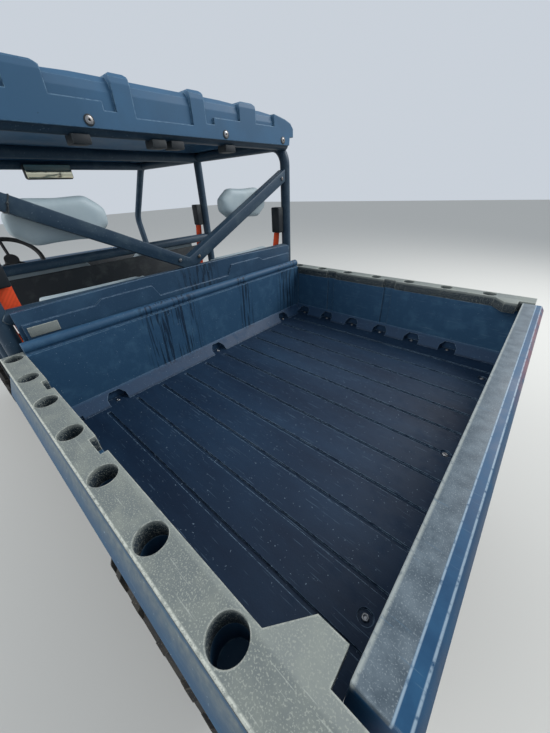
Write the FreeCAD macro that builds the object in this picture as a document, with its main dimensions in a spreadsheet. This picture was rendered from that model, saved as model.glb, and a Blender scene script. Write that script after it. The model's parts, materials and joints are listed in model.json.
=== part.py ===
import FreeCAD, Part
import Sketcher
import math
import os

# Two-row utility side by side with a tipping cargo bed.
# Millimetres. +X points forward, +Y left, +Z up, and the floor is at zero.

doc = FreeCAD.newDocument("SideBySide")
sheet = doc.addObject("Spreadsheet::Sheet", "Sizes")
X_AXIS = FreeCAD.Vector(1, 0, 0)
Y_AXIS = FreeCAD.Vector(0, 1, 0)
Z_AXIS = FreeCAD.Vector(0, 0, 1)
SIDES = (1, -1)

# Driving dimensions: name and millimetres, or degrees where the name says so.
DIMENSIONS = [
    # whole vehicle
    ("overall_length", 3700), ("overall_width", 1580), ("rear_axle_place", -1230), ("wheelbase", 2740),
    ("tube_radius", 25.4), ("seat_gap", 0.3), ("shaft_gap", 0.05), ("moving_gap", 6),
    ("cutter_past", 10), ("weld_sink", 5),
    # wheels
    ("tyre_radius", 330), ("front_tyre_width", 230), ("rear_tyre_width", 280), ("rim_radius", 178),
    ("bead_inset", 22), ("tread_shoulder", 20), ("lug_height", 18), ("lug_thickness", 36),
    ("lug_inner", 7), ("lug_drop", 44), ("lug_bury", 4), ("lug_chamfer", 12), ("lug_count", 16),
    ("rim_wall", 8), ("rim_disc", 8), ("rim_offset", 20), ("window_radius", 26), ("window_circle", 105),
    ("window_count", 7), ("wheel_hub_radius", 42), ("spindle_radius", 22), ("spindle_length", 40),
    # frame
    ("rail_low", 262), ("rail_size", 50), ("rail_place", 300), ("rail_end", 1700), ("side_rail_place", 700),
    ("engine_rear", -1020), ("engine_front", -690), ("rear_seat_member", -300), ("front_seat_member", 700),
    ("skid_thickness", 6), ("tower_spread", 140), ("tower_top", 680), ("support_low", 770),
    ("support_height", 45), ("support_front", -600), ("receiver_outer", 64), ("receiver_inner", 51),
    ("receiver_length", 190), ("muffler_shelf", 400), ("shelf_height", 30), ("rack_pedestal", 20),
    ("rack_foot_inset", 40), ("pivot_plate", 18), ("pivot_ear", 12), ("pivot_tail", 3),
    ("rest_pad_place", 30), ("rest_pad_length", 50),
    # suspension and driveline
    ("kingpin_inset", 55), ("knuckle_half_height", 100), ("knuckle_lug", 25), ("knuckle_depth", 30),
    ("knuckle_plate", 20), ("ball_pin_radius", 8), ("arm_eye_radius", 20), ("arm_eye_height", 18),
    ("arm_tube_radius", 14), ("arm_spread", 115), ("upper_arm_height", 505), ("lower_arm_height", 287),
    ("arm_bush_half", 150), ("shock_radius", 29), ("shock_eye_radius", 16), ("shock_foot_place", 455),
    ("joint_ball_radius", 29), ("half_shaft_radius", 13), ("prop_radius", 15), ("prop_height", 332),
    ("diff_half", 110), ("diff_height", 108), ("steering_arm", 90), ("tie_rod_radius", 8),
    ("tie_rod_height", 377), ("rack_house_radius", 24), ("rack_house_half", 180), ("rod_eye_inset", 17),
    ("shock_offset", 30), ("shock_bar_radius", 10), ("shock_eye_length", 40), ("stem_radius", 11.2),
    ("spring_foot", 85), ("spring_head", 90), ("arm_bush_inset", 30), ("rod_clearance", 1),
    ("lever_root", 20), ("lever_root_inset", 2), ("lever_bend", 75), ("lever_bend_out", 2), ("lever_tip", 15),
    ("lever_tip_out", 5), ("lever_tip_in", 30), ("lever_tip_back", 12), ("lever_thickness", 18),
    ("rod_eye_wall", 5), ("rod_eye_face", 2),
    ("engine_half", 230), ("engine_top", 740), ("front_case_rear", 60), ("front_case_front", 80),
    ("rear_case_half", 100), ("output_height", 360), ("output_radius", 30),
    ("can_radius", 80), ("can_half", 200), ("can_place", 40), ("tailpipe_place", 150),
    ("tailpipe_radius", 22), ("tailpipe_wall", 3), ("tailpipe_length", 130),
    ("radiator_setback", 5), ("radiator_depth", 40), ("radiator_half", 260), ("radiator_top", 625),
    # cargo bed
    ("bed_half", 689), ("bed_front", -650), ("bed_length", 1097), ("wall_top", 1170), ("bed_depth", 273),
    ("bed_floor", 30), ("rail_width", 61), ("side_bulge", 20), ("cove", 45), ("headboard", 42),
    ("skirt_low", 620), ("skirt_wall", 12), ("arch_radius", 400), ("rail_cap", 40), ("socket_radius", 25),
    ("socket_first", -634), ("socket_depth", 90), ("cap_lip", 8), ("socket_pitch", 166), ("socket_count", 7),
    ("groove_width", 12), ("groove_depth", 5), ("groove_pitch", 112), ("groove_count", 11),
    ("head_rail_height", 37),
    ("gate_half", 662), ("gate_thickness", 68), ("gate_gap", 17), ("gate_pin_radius", 10),
    ("gate_pin_back", 18), ("gate_pin_low", 9), ("gate_foot", 8), ("side_wall_tail", 38),
    ("dish_radius", 15), ("dish_depth", 5), ("tilt_pin_place", -1690), ("tilt_pin_height", 792),
    ("tilt_pin_radius", 14), ("bed_beam", 45), ("tail_lamp_low", 950), ("tail_lamp_height", 120),
    ("cap_shoulder", 60), ("head_rail_place", 24), ("head_rail_radius", 18), ("head_foot_half", 12),
    ("head_foot_height", 20), ("gate_front_gap", 5), ("groove_front", 70), ("gate_pin_reach", 38),
    ("pin_end_gap", 2), ("cap_tail_length", 50), ("cap_tail_inset", 10), ("cap_notch_inset", 51),
    ("cap_notch_step", 2), ("cap_notch_length", 40), ("cap_notch_run", 40), ("gate_chamfer", 10),
    ("gate_chamfer_height", 15), ("gate_pocket_depth", 14), ("gate_pocket_half", 420),
    ("gate_pocket_foot", 60), ("gate_pocket_top", 110), ("handle_depth", 22), ("handle_half", 90),
    ("handle_low", 85), ("handle_high", 35), ("grip_half", 80), ("grip_low", 80), ("grip_high", 40),
    ("grip_slope", 5), ("grip_face", 8), ("grip_lip", 3), ("gate_ear_radius", 14), ("gate_ear_width", 40),
    ("beam_inset", 40), ("tilt_ear_foot", 27), ("tail_lamp_depth", 16), ("tail_lamp_inset", 8),
    ("tail_lamp_reach", 10), ("dish_tail", 27), ("dish_place", 504),
    ("slot_notch_half", 30), ("slot_notch_depth", 14), ("slot_channel_half", 20), ("slot_channel_depth", 8),
    ("slot_after_front", 1), ("slot_after_rear", 3), ("recess_half", 36), ("recess_shoulder", 20),
    ("recess_round", 16),
    # cage and roof
    ("cage_half", 700), ("cage_top", 1770), ("rear_post", -550), ("middle_post", 215), ("front_foot", 1060),
    ("front_knee", 1270), ("front_knee_height", 1385), ("front_top", 985), ("knee_radius", 120),
    ("corner_radius", 90), ("header_place", 960), ("rear_bar_height", 1270), ("middle_bar_height", 1285),
    ("brace_depth", 46), ("brace_top", 1662), ("brace_base", 1335), ("brace_foot", 30), ("foot_cut", 300),
    ("roof_front", 1085), ("roof_rear", -590), ("roof_crown", 1908), ("roof_skin", 20), ("roof_half", 722),
    ("roof_edge_inset", 22), ("roof_edge_drop", 58), ("roof_bend_inset", 62), ("roof_bend_drop", 46),
    ("roof_shoulder_inset", 142), ("roof_shoulder_drop", 33), ("rib_outer_drop", 20), ("rib_inner_drop", 9),
    ("rib_slope", 16), ("roof_end_wall", 11), ("roof_room_inset", 67), ("rear_skirt_inset", 32),
    ("skirt_height", 34), ("rib_height", 9), ("rib_inner", 145), ("rib_inner_width", 30),
    ("rib_outer", 407), ("rib_outer_width", 64), ("rib_depth", 8), ("rib_round", 30), ("panel_round", 45),
    ("roof_back_wall", 24), ("panel_foot", 2), ("panel_step", 12), ("panel_ledge", 34),
    ("panel_step_width", 40),
    # cabin
    ("floor_height", 400), ("floor_thickness", 15), ("floor_half", 745), ("sill_low", 300),
    ("toe_board", 1118), ("toe_top", 700), ("toe_wall", 12), ("toe_bend", 570), ("toe_start", 960),
    ("floor_tail", 45), ("floor_foot", 20), ("sill_wall", 12), ("sill_nose", 40), ("tunnel_half", 40),
    ("toe_corner", 60), ("apron_gap", 2), ("dash_low", 880), ("dash_half", 655), ("dash_rear", 960),
    ("seat_base_top", 690), ("cushion_height", 160), ("seat_half", 590), ("base_half", 600),
    ("seat_back_top", 1305), ("headrest_place", 420), ("headrest_width", 325), ("headrest_height", 160),
    ("headrest_centre", 1520), ("headrest_depth", 70), ("panel_wall", 14), ("panel_low", 420),
    ("panel_top", 1299), ("panel_half", 672), ("panel_flat", 240), ("panel_fall", 10),
    ("field_half", 660), ("field_low", 1180), ("field_step", 1248), ("field_outer", 440),
    ("field_rise", 1265), ("field_inner", 214), ("field_dip", 1218), ("field_slant", 27),
    ("field_height", 8), ("belt_width", 48), ("belt_thickness", 2), ("belt_foot", 115),
    ("retractor_width", 45), ("retractor_height", 130), ("retractor_front", 50),
    ("retractor_back", 5), ("rear_retractor_top", 1487), ("front_retractor_top", 1500),
    ("front_seat_front", 740), ("rear_seat_front", 30),
    ("shell_setback", 30), ("shell_wall", 8), ("shell_drop", 20), ("shell_lean", 28), ("shell_thick", 12),
    ("shell_lip", 10), ("shell_knee", 40), ("base_toe", 40), ("cushion_nose", 12), ("cushion_round", 40),
    ("cushion_sag", 20), ("back_depth", 119), ("back_foot", 1), ("back_lean", 14), ("back_bend", 260),
    ("crown_front", 100), ("crown_edge", 80), ("crown_rear", 40), ("crown_drop", 25),
    ("valley_half", 140), ("valley_flare", 60), ("valley_depth", 65), ("headrest_round_wide", 62),
    ("headrest_round_high", 52), ("pedal_half", 30), ("pedal_arm", 8), ("pedal_reach", 110),
    ("pedal_drop", 85), ("brake_place", 470), ("throttle_place", 330), ("pedal_height", 610),
    ("wheel_place", 800), ("wheel_offset", 420), ("wheel_height", 1250), ("wheel_radius", 178),
    ("wheel_rim", 14), ("column_radius", 22), ("column_slope_degrees", 43), ("column_length", 190),
    ("boss_radius", 38), ("hub_pin_radius", 9), ("hub_depth", 30), ("spoke_radius", 9),
    ("dash_foot", 1020), ("dash_edge", 1080), ("dash_lip", 35), ("dash_top", 1168), ("dash_toe", 1188),
    ("dash_setback", 12), ("bin_inner", 200), ("bin_outer", 560), ("bin_low", 985), ("bin_high", 1075),
    ("hinge_ear_place", 320), ("hinge_ear_half", 28), ("hinge_ear_wall", 5), ("hinge_drop", 9),
    ("hinge_eye_radius", 9), ("hinge_pin_radius", 5), ("hinge_side_gap", 6),
    ("mirror_width", 278), ("mirror_height", 75), ("mirror_drop", 7), ("mirror_depth", 24),
    ("mirror_corner", 20),
    # front body
    ("hood_half", 410), ("apron", 418), ("fender_half", 770), ("fender_wall", 12), ("hood_wall", 16),
    ("nose_front", 1812), ("nose_low", 600), ("cowl_height", 1150), ("cowl_place", 1262),
    ("slot_count", 5), ("slot_height", 18), ("slot_pitch", 36), ("bumper_tube", 19),
    ("fender_foot", 1124), ("fender_low", 470), ("crest_place", 1330), ("crest_rise", 15), ("brow_place", 1600),
    ("brow_height", 1085), ("cheek_place", 1790), ("cheek_height", 945), ("nose_bend", 760),
    ("lamp_inner", 440), ("lamp_outer", 600), ("lamp_low", 800), ("lamp_high", 900), ("lamp_back", 1740),
    ("hood_crown", 17), ("hood_brow", 1090), ("hood_nose", 1778), ("hood_nose_height", 957),
    ("fascia_back", 1775), ("fascia_foot", 40), ("slot_half", 300), ("slot_start", 60),
    ("bumper_half", 430), ("bumper_low", 400), ("bumper_middle", 560), ("bumper_high", 740),
    ("bumper_rise", 70), ("bumper_run", 60), ("bumper_low_bend", 30), ("bumper_high_bend", 50),
]


class Size:
    """A number that remembers the sheet expression it comes from."""

    def __init__(self, value, text=None):
        self.value = float(value)
        self.text = text or repr(float(value))

    def _with(self, other, sign, value):
        return Size(value, "(" + self.text + sign + other.text + ")")

    def __add__(self, other):
        other = sized(other)
        return self._with(other, " + ", self.value + other.value)

    def __sub__(self, other):
        other = sized(other)
        return self._with(other, " - ", self.value - other.value)

    def __mul__(self, other):
        other = sized(other)
        return self._with(other, " * ", self.value * other.value)

    def __truediv__(self, other):
        other = sized(other)
        return self._with(other, " / ", self.value / other.value)

    def __radd__(self, other):
        return sized(other) + self

    def __rsub__(self, other):
        return sized(other) - self

    def __rmul__(self, other):
        return sized(other) * self

    def __neg__(self):
        return Size(-self.value, "(-" + self.text + ")")

    def __lt__(self, other):
        return self.value < sized(other).value

    def __float__(self):
        return self.value


def sized(number):
    return number if isinstance(number, Size) else Size(number)


def fill_sheet():
    sizes = {}
    for row, (name, value) in enumerate(DIMENSIONS, 1):
        sheet.set(f"A{row}", name)
        sheet.set(f"B{row}", str(value))
        sheet.setAlias(f"B{row}", name)
        sizes[name] = Size(value, "Sizes." + name)
    doc.recompute()
    return sizes


S = fill_sheet()


class Names:
    """Reads a size by attribute, as in D.bed_half."""

    def __getattr__(self, name):
        return S[name]


D = Names()
made = {}
counter = {}


def fresh(kind):
    counter[kind] = counter.get(kind, 0) + 1
    return f"{kind}_{counter[kind]}"


def node(name, item):
    """Gives a finished sub-part its own label, which is also its file name."""
    item.Label = name
    made[name] = item
    return item


def put(item, x, y, z, rotation=None):
    if rotation is not None:
        item.Placement = FreeCAD.Placement(FreeCAD.Vector(0, 0, 0), rotation)
    for letter, amount in (("x", x), ("y", y), ("z", z)):
        item.setExpression("Placement.Base." + letter, sized(amount).text)
    return item


def ordered(span):
    low, high = sized(span[0]), sized(span[1])
    return (low, high) if low < high else (high, low)


def block(x, y, z):
    """A box between two planes on each axis."""
    item = doc.addObject("Part::Box", fresh("block"))
    for name, span in (("Length", x), ("Width", y), ("Height", z)):
        low, high = ordered(span)
        item.setExpression(name, (high - low).text)
    return put(item, ordered(x)[0], ordered(y)[0], ordered(z)[0])


def rod(axis, across, radius, span):
    """A round bar along x, y or z. across holds its other two coordinates, in X, Y, Z order."""
    item = doc.addObject("Part::Cylinder", fresh("rod"))
    low, high = ordered(span)
    item.setExpression("Radius", sized(radius).text)
    item.setExpression("Height", (high - low).text)
    a, b = across
    if axis == "x":
        return put(item, low, a, b, FreeCAD.Rotation(Y_AXIS, 90))
    if axis == "y":
        return put(item, a, low, b, FreeCAD.Rotation(X_AXIS, -90))
    return put(item, a, b, low)


def ball(x, y, z, radius):
    item = doc.addObject("Part::Sphere", fresh("ball"))
    item.setExpression("Radius", sized(radius).text)
    return put(item, x, y, z)


def joined(*items):
    item = doc.addObject("Part::MultiFuse", fresh("joined"))
    item.Shapes = list(items)
    item.Refine = True
    return item


def group(*items):
    item = doc.addObject("Part::Compound", fresh("group"))
    item.Links = list(items)
    return item


def less(base, *tools):
    item = doc.addObject("Part::Cut", fresh("cut"))
    item.Base = base
    item.Tool = tools[0] if len(tools) == 1 else group(*tools)
    item.Refine = True
    return item


PLANES = {"x": "YZ_Plane", "y": "XZ_Plane", "z": "XY_Plane"}


def closed_sketch(body, role, outline):
    """A closed outline of straight edges, each corner held by its distance from the origin."""
    sketch = body.newObject("Sketcher::SketchObject", fresh("outline"))
    plane = next(o for o in body.Origin.OriginFeatures if o.Role == role)
    sketch.AttachmentSupport = [(plane, "")]
    sketch.MapMode = "FlatFace"
    corners = [(sized(u), sized(v)) for u, v in outline]
    count = len(corners)
    for i, (u, v) in enumerate(corners):
        un, vn = corners[(i + 1) % count]
        start = FreeCAD.Vector(u.value, v.value, 0)
        end = FreeCAD.Vector(un.value, vn.value, 0)
        sketch.addGeometry(Part.LineSegment(start, end))
    for i in range(count):
        sketch.addConstraint(Sketcher.Constraint("Coincident", i, 2, (i + 1) % count, 1))
    for i, (u, v) in enumerate(corners):
        for kind, amount in (("DistanceX", u), ("DistanceY", v)):
            place = sketch.addConstraint(Sketcher.Constraint(kind, -1, 1, i, 1, amount.value))
            sketch.setExpression(f"Constraints[{place}]", amount.text)
    return sketch


def prism(axis, outline, span):
    """A padded outline. Along y it is drawn in x and z, along x in y and z, along z in x and y."""
    body = doc.addObject("PartDesign::Body", fresh("body"))
    sketch = closed_sketch(body, PLANES[axis], outline)
    low, high = ordered(span)
    pad = body.newObject("PartDesign::Pad", fresh("pad"))
    pad.Profile = sketch
    pad.setExpression("Length", (high - low).text)
    offset = -high if axis == "y" else low
    sketch.setExpression("AttachmentOffset.Base.z", offset.text)
    return body


def turned(outline, place):
    """A ring or disc about an axis along y. Its outline is drawn in y and z from the centre."""
    body = doc.addObject("PartDesign::Body", fresh("body"))
    sketch = closed_sketch(body, "YZ_Plane", outline)
    turn = body.newObject("PartDesign::Revolution", fresh("turn"))
    turn.Profile = sketch
    axis = next(o for o in body.Origin.OriginFeatures if o.Role == "Y_Axis")
    turn.ReferenceAxis = (axis, [""])
    turn.Angle = 360
    put(body, *place)
    return body, axis


def rounded_corner(x, z, radius, way, steps=3):
    """Points round a corner, from its upright side to its top. way is 1 where the top runs forward."""
    turns = [math.radians(90 * i / steps) for i in range(steps + 1)]
    return [(x + radius * (way * (1 - math.cos(turn))), z - radius * (1 - math.sin(turn))) for turn in turns]


def point(x, y, z):
    return FreeCAD.Vector(float(x), float(y), float(z))


def shaped(shape):
    """An object for a shape that no sketch or primitive makes, such as a bent tube."""
    item = doc.addObject("Part::Feature", fresh("shape"))
    item.Shape = shape
    return item


def strut_shape(start, end, radius):
    return Part.makeCylinder(float(radius), (end - start).Length, start, end - start)


def strap_shape(start, end):
    """A flat strap that faces forward, with level ends."""
    wide = Y_AXIS * float(D.belt_width / 2)
    thick = X_AXIS * float(D.belt_thickness / 2)
    corners = [start + wide + thick, start - wide + thick, start - wide - thick, start + wide - thick]
    return Part.Face(Part.makePolygon(corners + corners[:1])).extrude(end - start)


def flat_ring(outline, count):
    """A ring about the Y axis made of flat faces. Its outline is given as y and radius."""
    step = 2 * math.pi / count
    faces = []
    for i in range(count):
        spokes = [FreeCAD.Vector(math.sin(a), 0, math.cos(a)) for a in ((i - 0.5) * step, (i + 0.5) * step)]
        for (ya, ra), (yb, rb) in zip(outline, outline[1:] + outline[:1]):
            first, last = spokes
            corners = [Y_AXIS * ya + first * ra, Y_AXIS * yb + first * rb,
                       Y_AXIS * yb + last * rb, Y_AXIS * ya + last * ra]
            faces.append(Part.Face(Part.makePolygon(corners + corners[:1])))
    ring = Part.Solid(Part.makeShell(faces))
    if ring.Volume < 0:
        ring.reverse()
    return ring


def tube_shape(points, bends, radius):
    """A round tube through points, its inner corners bent to the given radii."""
    edges = []
    start = points[0]
    for corner, after, bend in zip(points[1:-1], points[2:], bends):
        inward = (start - corner).normalize()
        outward = (after - corner).normalize()
        half = inward.getAngle(outward) / 2
        reach = bend / math.tan(half)
        first = corner + inward * reach
        last = corner + outward * reach
        middle = corner + (inward + outward).normalize() * (bend / math.sin(half) - bend)
        edges.append(Part.LineSegment(start, first).toShape())
        edges.append(Part.Arc(first, middle, last).toShape())
        start = last
    edges.append(Part.LineSegment(start, points[-1]).toShape())
    path = Part.Wire(edges)
    circle = Part.makeCircle(float(radius), points[0], points[1] - points[0])
    return path.makePipeShell([Part.Wire([circle])], True, False)


# Places that several pieces share
FRONT_AXLE = D.rear_axle_place + D.wheelbase
REAR_AXLE = D.rear_axle_place
HALF_LENGTH = D.overall_length / 2
RAIL_TOP = D.rail_low + D.rail_size
RAIL_IN = D.rail_place - D.rail_size / 2
RAIL_OUT = D.rail_place + D.rail_size / 2
SIDE_IN = D.side_rail_place - D.rail_size / 2
SIDE_OUT = D.side_rail_place + D.rail_size / 2
ON_RAIL = RAIL_TOP + D.seat_gap
SUPPORT_TOP = D.support_low + D.support_height
BED_REAR = D.bed_front - D.bed_length
FLOOR_TOP = D.wall_top - D.bed_depth
FLOOR_UNDER = FLOOR_TOP - D.bed_floor
WALL_OUT = D.bed_half + D.rail_width
SKIRT_OUT = WALL_OUT + D.side_bulge
CAP_LOW = D.wall_top - D.rail_cap
POST_IN = D.cage_half - D.tube_radius
GATE_PIN_X = BED_REAR - D.gate_pin_back
GATE_PIN_Z = FLOOR_TOP - D.gate_pin_low
EAR_IN = RAIL_OUT + D.moving_gap * 2
EAR_OUT = EAR_IN + D.pivot_ear
ROOF_UNDER = D.cage_top + D.tube_radius + D.seat_gap
WHEELS = [
    # name, axle place, side, tyre width
    ("front_left", FRONT_AXLE, 1, D.front_tyre_width),
    ("front_right", FRONT_AXLE, -1, D.front_tyre_width),
    ("rear_left", REAR_AXLE, 1, D.rear_tyre_width),
    ("rear_right", REAR_AXLE, -1, D.rear_tyre_width),
]


def wheel_centre(side, width):
    return side * (D.overall_width / 2 - width / 2)


def frame():
    """Straight rails, the members that cross them and the towers on top."""
    rails = []
    for side in SIDES:
        rails.append(block((-D.rail_end, D.rail_end), (side * RAIL_IN, side * RAIL_OUT),
                           (D.rail_low, RAIL_TOP)))
        rails.append(block((D.rear_post - D.rail_size, D.front_foot + D.tube_radius),
                           (side * SIDE_IN, side * SIDE_OUT), (D.rail_low, RAIL_TOP)))
    node("frame_rails", group(*rails))

    half = D.rail_size / 2
    members = []
    steering_bar = FRONT_AXLE - D.steering_arm
    places = [half - D.rail_end, REAR_AXLE, D.engine_rear, D.engine_front, D.rear_seat_member,
              D.middle_post, D.front_seat_member, D.front_foot, FRONT_AXLE, D.rail_end - half]
    for place in places:
        members.append(block((place - half, place + half), (-RAIL_IN, RAIL_IN), (D.rail_low, RAIL_TOP)))
    for place in (D.rear_post, D.middle_post, D.front_foot):
        for side in SIDES:
            members.append(block((place - half, place + half), (side * RAIL_OUT, side * SIDE_IN),
                                 (D.rail_low, RAIL_TOP)))
    tower = FRONT_AXLE + D.tower_spread
    members.append(block((tower - half, tower + half), (-RAIL_IN, RAIL_IN),
                         (D.tower_top - D.rail_size, D.tower_top)))
    shelf = D.tilt_pin_place + half
    members.append(block((shelf - half, shelf + half), (-RAIL_IN, RAIL_IN),
                         (D.muffler_shelf, D.muffler_shelf + D.shelf_height)))
    bar = block((steering_bar - half, steering_bar + half), (-RAIL_IN, RAIL_IN), (D.rail_low, RAIL_TOP))
    house_half = D.rack_house_half
    house = rod("y", (steering_bar, D.tie_rod_height), D.rack_house_radius, (-house_half, house_half))
    feet = [block((steering_bar - D.rack_pedestal, steering_bar + D.rack_pedestal),
                  (side * (house_half - D.rack_foot_inset - D.rack_pedestal),
                   side * (house_half - D.rack_foot_inset + D.rack_pedestal)),
                  (RAIL_TOP, D.tie_rod_height)) for side in SIDES]
    bore = rod("y", (steering_bar, D.tie_rod_height), D.tie_rod_radius + D.shaft_gap, (-RAIL_IN, RAIL_IN))
    members.append(less(joined(bar, house, *feet), bore))
    outer, inner = D.receiver_outer / 2, D.receiver_inner / 2
    mid = ON_RAIL + outer
    mouth, throat = -HALF_LENGTH, D.receiver_length - HALF_LENGTH
    square = block((mouth, throat), (-outer, outer), (mid - outer, mid + outer))
    hollow = block((mouth - D.cutter_past, throat + D.cutter_past), (-inner, inner), (mid - inner, mid + inner))
    members.append(less(square, hollow))
    node("frame_crossmembers", group(*members))

    towers = []
    for side in SIDES:
        y = (side * RAIL_IN, side * RAIL_OUT)
        legs = [block((FRONT_AXLE + way * D.tower_spread - half, FRONT_AXLE + way * D.tower_spread + half), y,
                      (ON_RAIL, D.tower_top)) for way in SIDES]
        beam = block((FRONT_AXLE - D.tower_spread - half, FRONT_AXLE + D.tower_spread + half), y,
                     (D.tower_top - D.rail_size, D.tower_top))
        towers.append(joined(*legs, beam))
        rear = [block((place - half, place + half), y, (ON_RAIL, SUPPORT_TOP)) for place in
                (REAR_AXLE - D.tower_spread, REAR_AXLE + D.tower_spread, D.support_front - half,
                 D.tilt_pin_place + half)]
        beam = block((D.tilt_pin_place, D.support_front), y, (D.support_low, SUPPORT_TOP))
        plate = block((D.tilt_pin_place - D.pivot_plate, D.tilt_pin_place + D.rail_size),
                      (side * RAIL_OUT, side * (RAIL_OUT + D.moving_gap)),
                      (D.tilt_pin_height - D.pivot_plate, D.tilt_pin_height + D.tilt_pin_radius))
        pin = rod("y", (D.tilt_pin_place, D.tilt_pin_height), D.tilt_pin_radius,
                  (side * RAIL_OUT, side * (EAR_OUT + D.pivot_tail)))
        pad_front = D.support_front - D.rest_pad_place
        pad = block((pad_front - D.rest_pad_length, pad_front), y,
                    (SUPPORT_TOP, FLOOR_UNDER - D.bed_beam - D.seat_gap))
        towers.append(joined(*rear, beam, plate, pin, pad))
    node("frame_towers", group(*towers))
    skid_top = D.rail_low - D.seat_gap
    node("skid_plate", block((-D.rail_end, D.rail_end), (-RAIL_OUT, RAIL_OUT),
                             (skid_top - D.skid_thickness, skid_top)))


def driveline():
    """A plain block for the engine, the two gear cases and the shafts to the wheels."""
    engine_nose = D.engine_front + D.rail_size
    node("engine", block((D.engine_rear, engine_nose), (-D.engine_half, D.engine_half),
                         (ON_RAIL, D.engine_top)))
    cases = []
    for place, width, behind, ahead in (
            (FRONT_AXLE, D.front_tyre_width, D.front_case_rear, D.front_case_front),
            (REAR_AXLE, D.rear_tyre_width, D.rear_case_half, D.rear_case_half)):
        parts = [block((place - behind, place + ahead), (-D.diff_half, D.diff_half),
                       (ON_RAIL, ON_RAIL + D.diff_height))]
        for side in SIDES:
            kingpin = wheel_centre(side, width) - side * D.kingpin_inset
            parts.append(rod("y", (place, D.tyre_radius), D.half_shaft_radius, (side * D.diff_half, kingpin)))
            parts.append(ball(place, kingpin, D.tyre_radius, D.joint_ball_radius))
        cases.append(joined(*parts))
    cases.append(rod("x", (0, D.prop_height), D.prop_radius,
                     (engine_nose + D.seat_gap, FRONT_AXLE - D.front_case_rear - D.seat_gap)))
    cases.append(rod("x", (0, D.output_height), D.output_radius,
                     (REAR_AXLE + D.rear_case_half + D.seat_gap, D.engine_rear - D.seat_gap)))
    node("driveline", group(*cases))
    shelf_top = D.muffler_shelf + D.shelf_height + D.seat_gap
    middle = D.tilt_pin_place + D.can_place
    level = shelf_top + D.can_radius
    can = rod("y", (middle, level), D.can_radius, (-D.can_half, D.can_half))
    tail = rod("x", (D.tailpipe_place, level), D.tailpipe_radius, (middle - D.tailpipe_length, middle))
    bore = rod("x", (D.tailpipe_place, level), D.tailpipe_radius - D.tailpipe_wall,
               (middle - D.tailpipe_length - D.cutter_past, middle - D.can_radius - D.cutter_past))
    node("muffler", less(joined(can, tail), bore))
    face = D.rail_end - D.radiator_setback
    node("radiator", block((face - D.radiator_depth, face), (-D.radiator_half, D.radiator_half),
                           (ON_RAIL, D.radiator_top)))


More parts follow.
